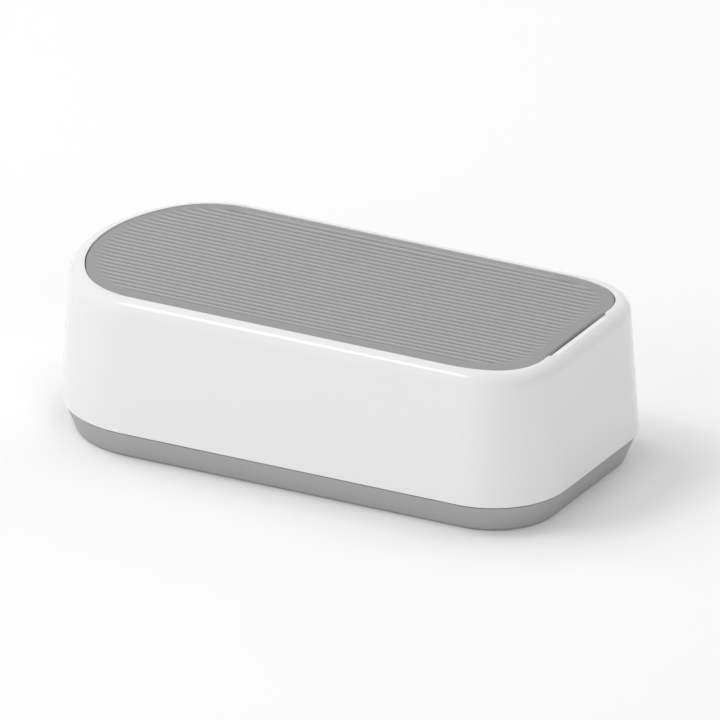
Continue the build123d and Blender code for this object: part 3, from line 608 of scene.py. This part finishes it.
class Form:
    """Points and faces gathered for one piece."""

    def __init__(self):
        self.points = []
        self.marks = []
        self.faces = []
        self.count = 0

    def add_points(self, points, mark=0.0):
        """Keeps the points, with their mark for the finish, and returns their numbers."""
        points = np.asarray(points, float)
        shape = points.shape[:-1]
        numbers = self.count + np.arange(points.size // 3).reshape(shape)
        self.points.append(points.reshape(-1, 3))
        self.marks.append(np.broadcast_to(mark, shape).ravel())
        self.count += points.size // 3
        return numbers

    def join(self, numbers, closed_rows=False, closed_columns=False):
        """Four-sided faces between neighbouring rows and columns of point numbers."""
        if closed_rows:
            numbers = np.concatenate([numbers, numbers[:1]], axis=0)
        if closed_columns:
            numbers = np.concatenate([numbers, numbers[:, :1]], axis=1)
        corners = [numbers[:-1, :-1], numbers[1:, :-1], numbers[1:, 1:], numbers[:-1, 1:]]
        self.faces.extend(np.stack([corner.ravel() for corner in corners], axis=1).tolist())

    def cap(self, loop):
        """One flat face on a loop of point numbers."""
        self.faces.append(loop.tolist())

    def pole(self, loop, place, mark, last):
        """Triangles from a ring of point numbers to a point on its axis."""
        tip = int(self.add_points(place, mark))
        after = np.roll(loop, -1)
        if last:
            loop, after = after, loop
        self.faces.extend([a, b, tip] for a, b in zip(loop.tolist(), after.tolist()))

    def turned(self, radius, along, place, direction, steps=48, mark=0.0, closed=False):
        """Rings round an axis, at radius and distance along it. Both may vary round the axis.

        Each point is the place plus its distance along the axis plus its radius times
        (cosine of the angle, sine of the angle) across it. A radius of 0 at an end is one point.
        """
        direction = np.asarray(direction, float)
        side = np.roll(direction, 1)
        other = np.cross(side, direction)
        angle = 2 * math.pi * np.arange(steps) / steps
        ring = np.cos(angle)[:, None] * side + np.sin(angle)[:, None] * other
        radius, along, mark = (
            np.broadcast_to(np.atleast_2d(values).T if np.ndim(values) == 1 else values,
                            (len(radius), steps))
            for values in (radius, along, mark)
        )
        place = np.asarray(place, float)
        points = place + along[:, :, None] * direction + radius[:, :, None] * ring
        first = 1 if radius[0, 0] == 0 else 0
        last = len(radius) - (1 if radius[-1, 0] == 0 else 0)
        numbers = self.add_points(points[first:last], mark[first:last])
        self.join(numbers, closed_rows=closed, closed_columns=True)
        if first:
            self.pole(numbers[0], points[0, 0], mark[0, 0], last=False)
        if last < len(radius):
            self.pole(numbers[-1], points[-1, 0], mark[-1, 0], last=True)

    def strung(self, numbers, flipped):
        """Walls from section to section, and a flat face on each end."""
        if flipped:
            numbers = numbers[:, ::-1]
        self.join(numbers[::-1], closed_columns=True)
        self.cap(numbers[0][::-1])
        self.cap(numbers[-1])

    def bar(self, section, stations, axis, centre, mark=0.0):
        """Rounded section strung along an axis, shrunk by each station's inset, with flat ends."""
        centre = np.asarray(centre, float)
        half = np.abs(section).max(axis=0)
        along, inset = np.asarray(stations, float).T
        shrink = 1 - inset[:, None] / half
        flat = section[None] * shrink[:, None, :]
        points = np.insert(flat, axis, along[:, None], axis=2) + centre
        numbers = self.add_points(points, np.broadcast_to(mark, along.shape)[:, None])
        self.strung(numbers, axis == 1)

    def piece(self, node, crease=35):
        """Makes the object that stands for a CAD node."""
        mesh = new_mesh(node)
        mesh.from_pydata(np.concatenate(self.points), [], self.faces)
        shaded(mesh, node, crease)
        marks = np.concatenate(self.marks).astype(np.float32)
        if marks.any():
            mesh.attributes.new("mark", "FLOAT", "POINT").data.foreach_set("value", marks)
        mesh.update()
        settle(mesh, node)


def softened(node, width):
    """Copy of a CAD node with its points merged and its edges rounded by a width."""
    mesh = new_mesh(node)
    work = bmesh.new()
    work.from_mesh(frame["nodes"][node].data)
    bmesh.ops.remove_doubles(work, verts=work.verts, dist=0.000002)
    bmesh.ops.dissolve_limit(
        work, angle_limit=math.radians(0.5), verts=work.verts, edges=work.edges
    )
    work.to_mesh(mesh)
    work.free()
    shaded(mesh, node, 35)
    bevel = settle(mesh, node).modifiers.new("Rounded edges", "BEVEL")
    bevel.width = width
    bevel.segments = 2
    bevel.limit_method = "ANGLE"
    bevel.angle_limit = math.radians(40)
    bevel.harden_normals = True


# Lid: sizes of its ribs, edge, lip and skirt, and the grid of its panel. The ribs lie 0.2 mm
# off the solids' grooves across the lid, where they meet the photograph's pattern.
rib_pitch = 0.00287
rib_count = 28
rib_depth = 0.00055
rib_margin = 0.0048
rib_shift_x = -0.0013
rib_shift_y = 0.0012
rib_fade_out = 0.0025
rib_fade_in = 0.0045
rib_reach = rib_count / 2 * rib_pitch
panel_margin = 0.0025
panel_dish = 0.00035
panel_dish_half = 0.080
panel_dish_fade = 0.004
panel_lines = 421
panel_points = 90
lid_low = 0.05535
lid_plate_low = 0.0572
lid_skirt = 0.002
lid_edge_radius = 0.0004
lip_depth = 0.0008
lip_reach = 0.0010
lip_half = 0.0215
lip_fade = 0.0004
lip_hollow = 0.00057

lid_end_steps = 120
lid_flat_end = flat_end(lid_arcs, lid_end_steps, 2)
lid_bowed_end = bowed_end(lid_end_steps)


def panel_ends(y, offset):
    """Where lines along the lid cross its outline moved out by offset.

    For each end the x and the outward direction there, both read off the end's curve at y.
    """
    found = []
    for plan, outward in (lid_bowed_end, lid_flat_end):
        moved = plan + offset * outward
        order = np.argsort(moved[:, 1])
        found.append([
            np.interp(y, moved[order, 1], values[order])
            for values in (moved[:, 0], outward[:, 0], outward[:, 1])
        ])
    return found


def rib_wave(x, y):
    """Wave of the ribs, 0 on the crests and 1 in the grooves, and its strength.

    The wave is a raised cosine across the lid. Its strength fades near each groove's ends.
    """
    (left, *_), (right, *_) = panel_ends(y - rib_shift_y, -rib_margin)
    left = left + rib_shift_x
    right = right + rib_shift_x
    fade = smooth_step(x, left - rib_fade_out, left + rib_fade_in)
    fade = fade * (1 - smooth_step(x, right - rib_fade_in, right + rib_fade_out))
    beside = y - rib_shift_y
    fade = fade * (np.abs(beside) < rib_reach)
    return (1 - np.cos(2 * math.pi * (beside - rib_reach) / rib_pitch)) / 2, fade


def rib_fall(x, y):
    """How far the panel lies below the lid's top.

    The ribs' wave, over a shallow dish that is a half cosine along the lid.
    """
    wave, fade = rib_wave(x, y)
    along = np.clip(np.abs(x) / panel_dish_half, 0, 1)
    across = 1 - smooth_step(np.abs(y), rib_reach - panel_dish_fade, rib_reach)
    return rib_depth * wave * fade + panel_dish * (1 + np.cos(math.pi * along)) / 2 * across


def ribbed_lid():
    """Ribbed panel, then a flat margin, a rounded edge, the skirt and the plate below.

    The panel is a grid of lines along the lid, each ending on the margin's inner outline.
    Round it run copies of that outline, moved out to the edge, down the skirt and back in.
    At the finger notch the rim falls away in a bevel and its edge bows inwards as a parabola.
    """
    form = Form()
    y_limit = half_width - panel_margin
    y = y_limit * np.linspace(-1, 1, panel_lines)
    (left, left_x, left_y), (right, right_x, right_y) = panel_ends(y, -panel_margin)
    even = np.linspace(0, 1, panel_points)
    share = 0.7 * (1 - np.cos(math.pi * even)) / 2 + 0.3 * even
    x = left[:, None] + (right - left)[:, None] * share[None, :]
    across = np.repeat(y[:, None], x.shape[1], axis=1)
    wave, fade = rib_wave(x, across)
    # The ribs' wave as a mark that sets their painted shade, paler on the crests and darker in the
    # grooves.
    tone = flat_mark + (wave - flat_mark) * fade
    top = form.add_points(np.stack([x, across, lid_high - rib_fall(x, across)], axis=2), tone)
    low = np.stack([x, across, np.full_like(x, lid_plate_low)], axis=2)
    under = form.add_points(low, flat_mark)
    form.join(top[:, ::-1])
    form.join(under)
    outward_x, outward_y = np.zeros_like(x), np.sign(across)
    outward_x[:, 0], outward_y[:, 0] = left_x, left_y
    outward_x[:, -1], outward_y[:, -1] = right_x, right_y
    top_loop, under_loop, x, across, outward_x, outward_y = (
        np.concatenate([n[0, :-1], n[:-1, -1], n[-1, :0:-1], n[:0:-1, 0]])
        for n in (top, under, x, across, outward_x, outward_y)
    )
    outward = np.stack([outward_x, outward_y], axis=1)
    plan = np.stack([x, across], axis=1) + panel_margin * outward
    bend = np.linspace(quarter, 0, 6)
    edge = [(-lip_reach, lid_high)]
    edge += [
        (lid_edge_radius * (math.cos(a) - 1), lid_high + lid_edge_radius * (math.sin(a) - 1))
        for a in bend
    ]
    edge += [(0, lid_low), (-lid_skirt, lid_low), (-lid_skirt, lid_plate_low)]
    offset, height = np.array(edge).T
    on_end = outward[:, 0] > 0.999
    beside = on_end * (1 - smooth_step(np.abs(plan[:, 1]), lip_half - lip_fade, lip_half))
    hollow = lip_hollow * np.clip(1 - (plan[:, 1] / lip_half) ** 2, 0, 1) * on_end
    offset = offset - hollow[:, None] * np.clip((offset + lip_reach) / lip_reach, 0, 1)
    fall = lip_depth * np.clip((offset + lip_reach) / lip_reach, 0, 1)
    fall = np.where(height > lid_low + lip_depth, fall, 0) * beside[:, None]
    ring = form.add_points(raised(plan, outward, offset, height - fall), flat_mark)
    ring = np.concatenate([top_loop[:, None], ring, under_loop[:, None]], axis=1)
    form.join(ring[:, ::-1], closed_rows=True)
    return form


ribbed_lid().piece("lid_top", 26)
softened("lid_liner", 0.0003)

case_curve = whole_outline(case_arcs)

# Tank: offsets from the lid's outline and heights
tank_floor = 0.01805
tank_top = 0.05205
tank_sheet = 0.0008
tank_mouth = -0.0066
tank_slope = math.tan(math.radians(2.0))
tank_bend = 0.008
tank_flange = -0.003
tank_mouth_bend = 0.0004
tank_floor_edge = -0.0166


def drawn_tank():
    """Bowl drawn from sheet: a section carried round the outline, with a flat floor inside it."""
    form = Form()
    low = tank_floor - tank_sheet
    outside = tank_mouth + tank_sheet
    corners = [
        (tank_floor_edge, low, 0),
        (outside - (tank_top - low) * tank_slope, low, tank_bend + tank_sheet),
        (outside, tank_top - tank_sheet, tank_mouth_bend),
        (tank_flange, tank_top - tank_sheet, 0.0001),
        (tank_flange, tank_top, 0.0001),
        (tank_mouth, tank_top, tank_mouth_bend),
        (tank_mouth - (tank_top - tank_floor) * tank_slope, tank_floor, tank_bend),
        (tank_floor_edge, tank_floor, 0),
    ]
    offset, height = rounded(corners, 8, closed=False).T
    numbers = form.add_points(raised(*case_curve, offset, height))
    form.join(numbers, closed_rows=True)
    form.cap(numbers[::-1, 0])
    form.cap(numbers[:, -1])
    return form


drawn_tank().piece("tank")


def swept_ring(node, corners):
    """Closed section of (offset, height, edge radius) corners carried round the case's outline."""
    form = Form()
    offset, height = rounded(corners).T
    numbers = form.add_points(raised(*case_curve, offset, height))
    form.join(numbers, closed_rows=True, closed_columns=True)
    form.piece(node, 50)


lid_seal_low = 0.05005
tank_seal_high = 0.05305
swept_ring("lid_seal", [
    (-0.0088, lid_seal_low, 0.0001), (-0.0074, lid_seal_low, 0.0002), (-0.00695, 0.0505, 0.00015),
    (-0.00745, 0.05105, 0.00015), (-0.00695, 0.0516, 0.00015),
    (-0.0074, tank_top, 0.0002), (-0.0088, tank_top, 0.0001),
])
swept_ring("tank_seal", [
    (-0.0061, tank_top, 0.0003), (-0.0035, tank_top, 0.0003),
    (-0.0035, tank_seal_high, 0.0003), (-0.0061, tank_seal_high, 0.0003),
])

# Feet
foot_x = 0.060
foot_y = 0.032
foot_radius = 0.006
foot_height = 0.0017
foot_chamfer = 0.00025
tread_pitch = 0.0014
tread_depth = 0.00015


def rubber_feet():
    """Four discs with round treads: the underside's height is a raised cosine of the radius."""
    form = Form()
    radius = np.linspace(0, foot_radius - foot_chamfer, 40)
    tread = tread_depth * (1 - np.cos(2 * math.pi * radius / tread_pitch)) / 2
    tread *= 1 - smooth_step(radius, foot_radius - 0.001, foot_radius - 0.0006)
    side = [(foot_radius, foot_chamfer), (foot_radius, foot_height), (0, foot_height)]
    radius, height = np.concatenate([np.stack([radius, tread], axis=1), side]).T
    for x in (-foot_x, foot_x):
        for y in (-foot_y, foot_y):
            form.turned(radius, height, (x, y, 0), (0, 0, 1))
    return form


rubber_feet().piece("rubber_feet")


def add_screw(form, tip, direction, radius, length, head_radius, head_height, pitch):
    """Pan-head screw from its tip to the crown of its head, drawn as rings.

    The shank's radius falls by the thread's depth as a V of (distance over pitch less
    angle over a full turn). The crown falls by the recess where a point lies in the
    cross's arms, and the head's shoulder is a quarter of an ellipse.
    """
    steps = 48
    angle = 2 * math.pi * np.arange(steps) / steps
    depth = 0.16 * radius
    rows = int(length / pitch * 8)
    along = np.linspace(0, length, rows)[:, None]
    turn = (along / pitch - angle[None, :] / (2 * math.pi)) % 1
    thread = 1 - np.abs(2 * turn - 1)
    near_tip = smooth_step(along, 0, radius * 1.2)
    shank = (radius - depth * thread) * (0.45 + 0.55 * near_tip)
    shank = np.where(along > length - pitch, radius * 0.92, shank)
    bend = np.linspace(0, quarter, 6)
    shoulder = head_radius * (0.72 + 0.28 * np.cos(bend))
    shoulder_along = length + head_height * (0.45 + 0.55 * np.sin(bend))
    inner = np.linspace(head_radius * 0.7, 0, 16)
    x = np.abs(inner[:, None] * np.cos(angle))
    y = np.abs(inner[:, None] * np.sin(angle))
    arm = 1 - smooth_step(np.minimum(x, y), head_radius * 0.1, head_radius * 0.14)
    arm = arm * (1 - smooth_step(np.maximum(x, y), head_radius * 0.5, head_radius * 0.6))
    crown = length + head_height - head_height * 0.5 * arm
    widths = [np.zeros(1), shank, [head_radius * 0.96, head_radius], shoulder, inner]
    neck = [length, length + head_height * 0.06]
    places = [np.zeros(1), along, neck, shoulder_along, crown]
    widths, places = (
        np.concatenate([
            np.broadcast_to(np.reshape(part, (len(part), -1)), (len(part), steps))
            for part in parts
        ])
        for parts in (widths, places)
    )
    form.turned(widths, places, tip, direction, steps)


def screws(node, tips, direction, *sizes):
    """Several screws of one kind. The sizes are those that add_screw takes after direction."""
    form = Form()
    for tip in tips:
        add_screw(form, tip, direction, *sizes)
    form.piece(node, 40)


def corner_tips(height):
    """Tips of the base screws, which stand on a curve beside the outline's four corners."""
    inset = -0.0015
    corners = (
        (flat_corner, flat_end_corner_radius, math.radians(45)),
        (bowed_corner, bowed_end_corner_radius, math.radians(120)),
    )
    return [
        (
            centre[0] + (radius + inset) * math.cos(angle),
            side * (centre[1] + (radius + inset) * math.sin(angle)),
            height,
        )
        for centre, radius, angle in corners
        for side in (1, -1)
    ]


clamp_tips = [
    (0.005 + place * 0.055, side * 0.045, 0.05385) for side in (1, -1) for place in (-1, 0, 1)
]
board_tips = [(0.048 + x, y, 0.0035) for x in (-0.0315, 0.0315) for y in (-0.0215, 0.0215)]
switch_tips = [(x, 0.0455218, 0.036) for x in (-0.0145, 0.0145)]
down = (0, 0, -1)
up = (0, 0, 1)
inwards = (0, -1, 0)
screws("base_screws", corner_tips(0.01995), down,
       0.0015, 0.01585, 0.0028, 0.0022, 0.0012)
screws("clamp_screws", clamp_tips, down, 0.001, 0.0038, 0.0019, 0.0012, 0.0008)
screws("board_screws", board_tips, up, 0.0012, 0.0042, 0.0022, 0.0015, 0.0009)
screws("switch_board_screws", switch_tips, inwards,
       0.0009, 0.0052, 0.0017, 0.001, 0.0007)
softened("tank_clamps", 0.00015)

# Start button, its ring of light and the switch behind it: distances along +Y
button_centre = (0, 0, 0.036)
outwards = (0, 1, 0)
plunger_back = 0.0426218
button_back = 0.0444218
flange_back = 0.0455218
flange_front = 0.0467218
button_front = 0.0516768
button_dish = 0.0003
button_rim = 0.0072
ring_back = 0.0470218
ring_step = 0.0482218
ring_front = 0.0514768


def start_button():
    """Stub, flange and cap. The cap's face is a shallow dish: a squared fall from its rim."""
    form = Form()
    body = rounded([
        (0, button_back, 0), (0.0018, button_back, 0.0003), (0.0018, flange_back, 0.0002),
        (0.0094, flange_back, 0.0002), (0.0094, flange_front, 0.0002), (0.008, flange_front, 0.0001),
        (0.008, button_front, 0.0006), (button_rim, button_front, 0),
    ], closed=False)
    radius = np.linspace(0.007, 0, 14)
    dish = button_front - button_dish * (1 - (radius / button_rim) ** 2) ** 2
    radius, along = np.concatenate([body, np.stack([radius, dish], axis=1)]).T
    form.turned(radius, along, button_centre, outwards, 72)
    return form


start_button().piece("start_button")


def turned_piece(node, corners, place, direction, steps=48, closed=False):
    """Piece turned from (radius, distance along the axis, edge radius) corners.

    A closed section makes a ring, and an open one has its ends on the axis.
    """
    form = Form()
    radius, along = rounded(corners, closed=closed).T
    form.turned(radius, along, place, direction, steps, closed=closed)
    form.piece(node)


turned_piece("button_light_ring", [
    (0.0083, ring_back, 0.0001), (0.0111, ring_back, 0.0002), (0.0111, ring_step, 0.0002),
    (0.0095, ring_step, 0.0001), (0.0095, ring_front, 0.0003), (0.0083, ring_front, 0.00025),
], button_centre, outwards, 72, closed=True)
turned_piece("switch_plunger", [
    (0, plunger_back, 0), (0.0016, plunger_back, 0.0001),
    (0.0016, button_back, 0.0003), (0, button_back, 0),
], button_centre, outwards)
softened("tact_switch", 0.0002)
softened("switch_board", 0.0001)
softened("indicator_led", 0.0003)

# Power inlet: distances along X
inlet_centre = (0, 0, 0.0205)
inwards_x = (1, 0, 0)
bezel_front = -0.102552
bezel_step = -0.101252
bezel_back = -0.098552
pin_tip = -0.097552
pin_root = -0.090552
turned_piece("inlet_bezel", [
    (0.0049, bezel_front, 0.0004), (0.0069, bezel_front, 0.0004), (0.0069, bezel_step, 0.0001),
    (0.0059, bezel_step, 0.0001), (0.0059, bezel_back, 0.0001), (0.0049, bezel_back, 0.0001),
], inlet_centre, inwards_x, 72, closed=True)
turned_piece("jack_pin", [
    (0, pin_tip, 0), (0.00105, pin_tip, 0.0006), (0.00105, pin_root, 0.0001), (0, pin_root, 0),
], inlet_centre, inwards_x, 32)
softened("power_jack", 0.0003)

disc_low = 0.01445
disc_high = 0.01725
turned_piece("piezo_disc", [
    (0, disc_low, 0), (0.0163, disc_low, 0), (0.0175, disc_low, 0.0002),
    (0.0175, disc_high, 0.0002), (0, disc_high, 0),
], (0, 0, 0), up, 96)

# Driver board and what stands on it
board_x = 0.048
board_top = 0.0077
softened("driver_board", 0.0001)

choke_place = (board_x - 0.014, 0.0145, board_top)
choke_rim = 0.0055
choke_waist = 0.0026
choke_low = 0.001
choke_high = 0.006
turned_piece("choke_core", [
    (0, 0, 0), (choke_rim, 0, 0.0002), (choke_rim, choke_low, 0.0002),
    (choke_waist, choke_low, 0.0001), (choke_waist, choke_high, 0.0001),
    (choke_rim, choke_high, 0.0002), (choke_rim, 0.007, 0.0002), (0, 0.007, 0),
], choke_place, up)


def wound(turns, steps):
    """Share of the way along a winding, and the wire's bulge there: the root of a half circle."""
    share = np.linspace(0, 1, turns * steps + 1)
    return share, np.sqrt(np.clip(1 - (2 * (share * turns % 1) - 1) ** 2, 0, 1))


def choke_winding():
    """Turns of wire side by side, with dips between them."""
    form = Form()
    share, bulge = wound(9, 8)
    radius = np.concatenate([0.0049 + 0.0003 * bulge, [choke_waist, choke_waist]])
    along = np.concatenate([choke_low + 0.005 * share, [choke_high, choke_low]])
    form.turned(radius, along, choke_place, up, closed=True)
    return form


choke_winding().piece("choke_winding", 60)
softened("transformer_core", 0.0003)


def box_section(half_x, half_y, radius):
    """Rounded rectangle, anticlockwise."""
    signs = ((1, -1), (1, 1), (-1, 1), (-1, -1))
    return rounded([(x * half_x, y * half_y, radius) for x, y in signs])


def transformer_winding():
    """Wire wound round the middle leg: rounded oblongs that swell and dip turn by turn."""
    form = Form()
    centre = np.array([board_x + 0.006, 0.0125, board_top + 0.004])
    share, bulge = wound(11, 6)
    half = (0.0057, 0.004)
    outer = box_section(*half, 0.0014)
    dip = 1 - 0.00025 * (1 - bulge)[:, None, None] / np.array(half)
    rings = outer[None] * dip
    inner = box_section(0.002, 0.0028, 0.0001)
    rings = np.concatenate([rings, inner[None], inner[None]])
    along = np.concatenate([-0.0037 + 0.0074 * share, [0.0037, -0.0037]])
    points = np.insert(rings, 1, along[:, None], axis=2) + centre
    numbers = form.add_points(points)
    form.join(numbers, closed_rows=True, closed_columns=True)
    return form


transformer_winding().piece("transformer_winding", 60)

bend = np.linspace(0, quarter, 4)


def block_stations(half, edge, band=None):
    """Distance and inset of each section of a block with rounded ends, and the sections' marks.

    The ends are quarter circles. A band's width from each end the marks change over.
    """
    tail = [(-half + edge * (1 - math.sin(a)), edge * (1 - math.cos(a))) for a in bend[::-1]]
    if band is None:
        stations = tail + [(-along, inset) for along, inset in tail[::-1]]
        return stations, 0.0
    inner = [(-half + band, 0.0), (-half + band + edge / 4, 0.0)]
    stations = tail + inner
    marks = [1.0] * (len(tail) + 1) + [0.0]
    return (
        stations + [(-along, inset) for along, inset in stations[::-1]],
        np.array(marks + marks[::-1]),
    )


def blocks(node, centres, size, edge, axis=0, band=None):
    """Several equal blocks with rounded edges, strung along an axis."""
    form = Form()
    half = [part / 2 for part in size]
    across = [part for index, part in enumerate(half) if index != axis]
    stations, marks = block_stations(half[axis], edge, band)
    for centre in centres:
        form.bar(box_section(*across, edge), stations, axis, centre, marks)
    form.piece(node, 40)


sink_x = board_x + 0.0036
sink_y = -0.0135
blocks("power_transistors", [
    (sink_x + side * 0.006, sink_y, board_top + 0.00115) for side in (-1, 1)
], (0.0066, 0.0061, 0.0023), 0.0002, axis=1, band=0.0012)
softened("heat_pad", 0.00005)
softened("heat_sink", 0.0002)


def electrolytic_cans():
    """Two lying cans: bare stepped top, sleeve with its crimped groove, and the recessed bung."""
    form = Form()
    radius, along = rounded([
        (0, 0.00015, 0), (0.0030, 0.00015, 0.0001), (0.0032, 0.0, 0.0001), (0.004, 0.0, 0.0006),
        (0.004, 0.0108, 0.0003), (0.0036, 0.0114, 0.0003), (0.004, 0.012, 0.0003),
        (0.004, 0.014, 0.0003), (0.0031, 0.014, 0.0001), (0.0029, 0.0136, 0.0001), (0, 0.0136, 0),
    ], closed=False).T
    bare = (radius < 0.00345) & (along < 0.001)
    for y in (-0.005, -0.014):
        place = (board_x + 0.019, y, board_top + 0.004)
        form.turned(radius, along, place, inwards_x, 56, bare * 1.0)
    return form


electrolytic_cans().piece("electrolytic_capacitors")
film_centre = (board_x + 0.027, 0.013, board_top + 0.004)
blocks("film_capacitor", [film_centre], (0.013, 0.005, 0.008), 0.0005, axis=2)

chip_centre = np.array([board_x - 0.016, -0.0005, board_top])
leg_pitch = 0.00127
leg_width = 0.0004


def control_chip():
    """Moulded body with eight bent metal legs on each side."""
    form = Form()
    stations, _ = block_stations(0.0008, 0.00015)
    form.bar(box_section(0.005, 0.002, 0.0002), stations, 2, chip_centre + (0, 0, 0.0008))
    leg = rounded([
        (0.0019, 0.0009, 0), (0.0027, 0.0009, 0.0001), (0.0027, 0.00035, 0.0001),
        (0.0032, 0.0002, 0), (0.0032, 0.0, 0), (0.0024, 0.0, 0.0001),
        (0.0023, 0.0007, 0.0001), (0.0019, 0.0007, 0),
    ])
    for side in (-1, 1):
        for index in range(8):
            x = (index - 3.5) * leg_pitch
            rows = [
                np.insert(leg * (side, 1), 0, x + edge, axis=1) + chip_centre
                for edge in (-leg_width / 2, leg_width / 2)
            ]
            form.strung(form.add_points(np.stack(rows), 1.0), side < 0)
    return form


control_chip().piece("control_chip", 40)
blocks("chip_resistors", [
    (board_x - 0.001 + (column - 1.5) * 0.0044, 0.0008 - row * 0.0026, board_top + 0.0003)
    for row in (0, 1)
    for column in range(4)
], (0.0032, 0.0016, 0.0006), 0.00008, band=0.0005)
blocks("diodes", [
    (board_x - 0.02 + column * 0.006, -0.018 + row * 0.005, board_top + 0.0011)
    for row in (0, 1)
    for column in (0, 1)
], (0.0044, 0.0026, 0.0022), 0.00025, band=0.0006)
softened("board_connectors", 0.0003)

for node in frame["nodes"].values():
    node.material_slots[0].material = finishes[slot_of[node.name]]


# Floor, world, lamps and camera
def pale_floor():
    """Wide floor whose own colour is near white."""
    reach = np.linspace(-3.0, 3.0, 13)
    x, y = np.meshgrid(reach, reach, indexing="ij")
    form = Form()
    form.join(form.add_points(np.stack([x, y, np.zeros_like(x)], axis=2)))
    mesh = bpy.data.meshes.new("Floor")
    mesh.from_pydata(np.concatenate(form.points), [], form.faces)
    made = bpy.data.objects.new("Floor", mesh)
    bpy.context.scene.collection.objects.link(made)
    paper = Finish("Floor paper", Roughness=0.9, Specular_IOR_Level=0.0)
    soft = paper.noise(0.4, 2.0)
    paper.link(paper.mix(soft, (0.955, 0.955, 0.955), (0.965, 0.965, 0.965)), "Base Color")
    mesh.materials.append(paper.material)


pale_floor()

lamp_distance = 1.6
lamp_aim = np.array([0, 0, 0.03])


def lamp(name, azimuth, elevation, size, power, mirrored=False):
    """Square soft lamp that points at the object from a direction, in degrees from +X.

    Only a mirrored lamp is seen in glossy surfaces. The others are soft fill.
    """
    data = bpy.data.lights.new(name, "AREA")
    data.shape = "SQUARE"
    data.size = size
    data.energy = power
    made = bpy.data.objects.new(name, data)
    bpy.context.scene.collection.objects.link(made)
    azimuth, elevation = math.radians(azimuth), math.radians(elevation)
    away = np.array([
        math.cos(azimuth) * math.cos(elevation),
        math.sin(azimuth) * math.cos(elevation),
        math.sin(elevation),
    ])
    made.visible_glossy = mirrored
    made.location = lamp_aim + away * lamp_distance
    made.rotation_mode = "QUATERNION"
    made.rotation_quaternion = Vector(away).to_track_quat("Z", "Y")


# Directions in degrees, then size and power. The powers are fitted to the photograph's brightness.
low_lamp = (25, 0.8)
high_lamp = (55, 0.9)
lamps = [
    ("Left top lamp", 180, *high_lamp, 6.0),
    ("Front right lamp", 315, *low_lamp, 5.35),
    ("Front left lamp", 225, *low_lamp, 4.15),
    ("Back lamp", 90, *low_lamp, 3.9),
    ("Front top lamp", 214, 59, 0.4, 3.05, True),
    ("Front lamp", 270, *low_lamp, 2.65),
    ("Back right lamp", 45, *low_lamp, 2.4),
    ("Front left top lamp", 225, *high_lamp, 2.0),
    ("Back right top lamp", 45, *high_lamp, 1.85),
    ("Back top lamp", 90, *high_lamp, 1.65),
    ("Left lamp", 180, *low_lamp, 1.5),
    ("Back left top lamp", 135, *high_lamp, 1.45),
]
for setting in lamps:
    lamp(*setting)

world = bpy.data.worlds.new("Studio")
bpy.context.scene.world = world
world.use_nodes = True
nodes = world.node_tree.nodes
links = world.node_tree.links
nodes.clear()
path = nodes.new("ShaderNodeLightPath")


def background(strength):
    """White surround of one strength."""
    made = nodes.new("ShaderNodeBackground")
    made.inputs["Color"].default_value = (1, 1, 1, 1)
    made.inputs["Strength"].default_value = strength
    return made


# The camera and mirror reflections see a brighter surround than the one that lights the object
around = background(0.234)
seen = background(1.0)
mixed = nodes.new("ShaderNodeMixShader")
out = nodes.new("ShaderNodeOutputWorld")
direct = path.outputs["Is Camera Ray"]
for ray in ("Is Glossy Ray", "Is Transmission Ray"):
    either = nodes.new("ShaderNodeMath")
    either.operation = "MAXIMUM"
    links.new(direct, either.inputs[0])
    links.new(path.outputs[ray], either.inputs[1])
    direct = either.outputs[0]
links.new(direct, mixed.inputs[0])
links.new(around.outputs[0], mixed.inputs[1])
links.new(seen.outputs[0], mixed.inputs[2])
links.new(mixed.outputs[0], out.inputs["Surface"])

view_azimuth = math.radians(27.86)
view_elevation = math.radians(23.70)
view_width = 0.2534
view_right = 0.00723
view_up = 0.02810
view_distance = 2.0

right = np.array([math.cos(view_azimuth), math.sin(view_azimuth), 0.0])
back = np.array([
    math.sin(view_azimuth) * math.cos(view_elevation),
    -math.cos(view_azimuth) * math.cos(view_elevation),
    math.sin(view_elevation),
])
camera_data = bpy.data.cameras.new("Camera")
camera_data.type = "ORTHO"
camera_data.ortho_scale = view_width
camera = bpy.data.objects.new("Camera", camera_data)
bpy.context.scene.collection.objects.link(camera)
camera.location = right * view_right + np.cross(back, right) * view_up + back * view_distance
camera.rotation_euler = (quarter - view_elevation, 0, view_azimuth)
bpy.context.scene.camera = camera
bpy.context.scene.view_settings.view_transform = "Standard"
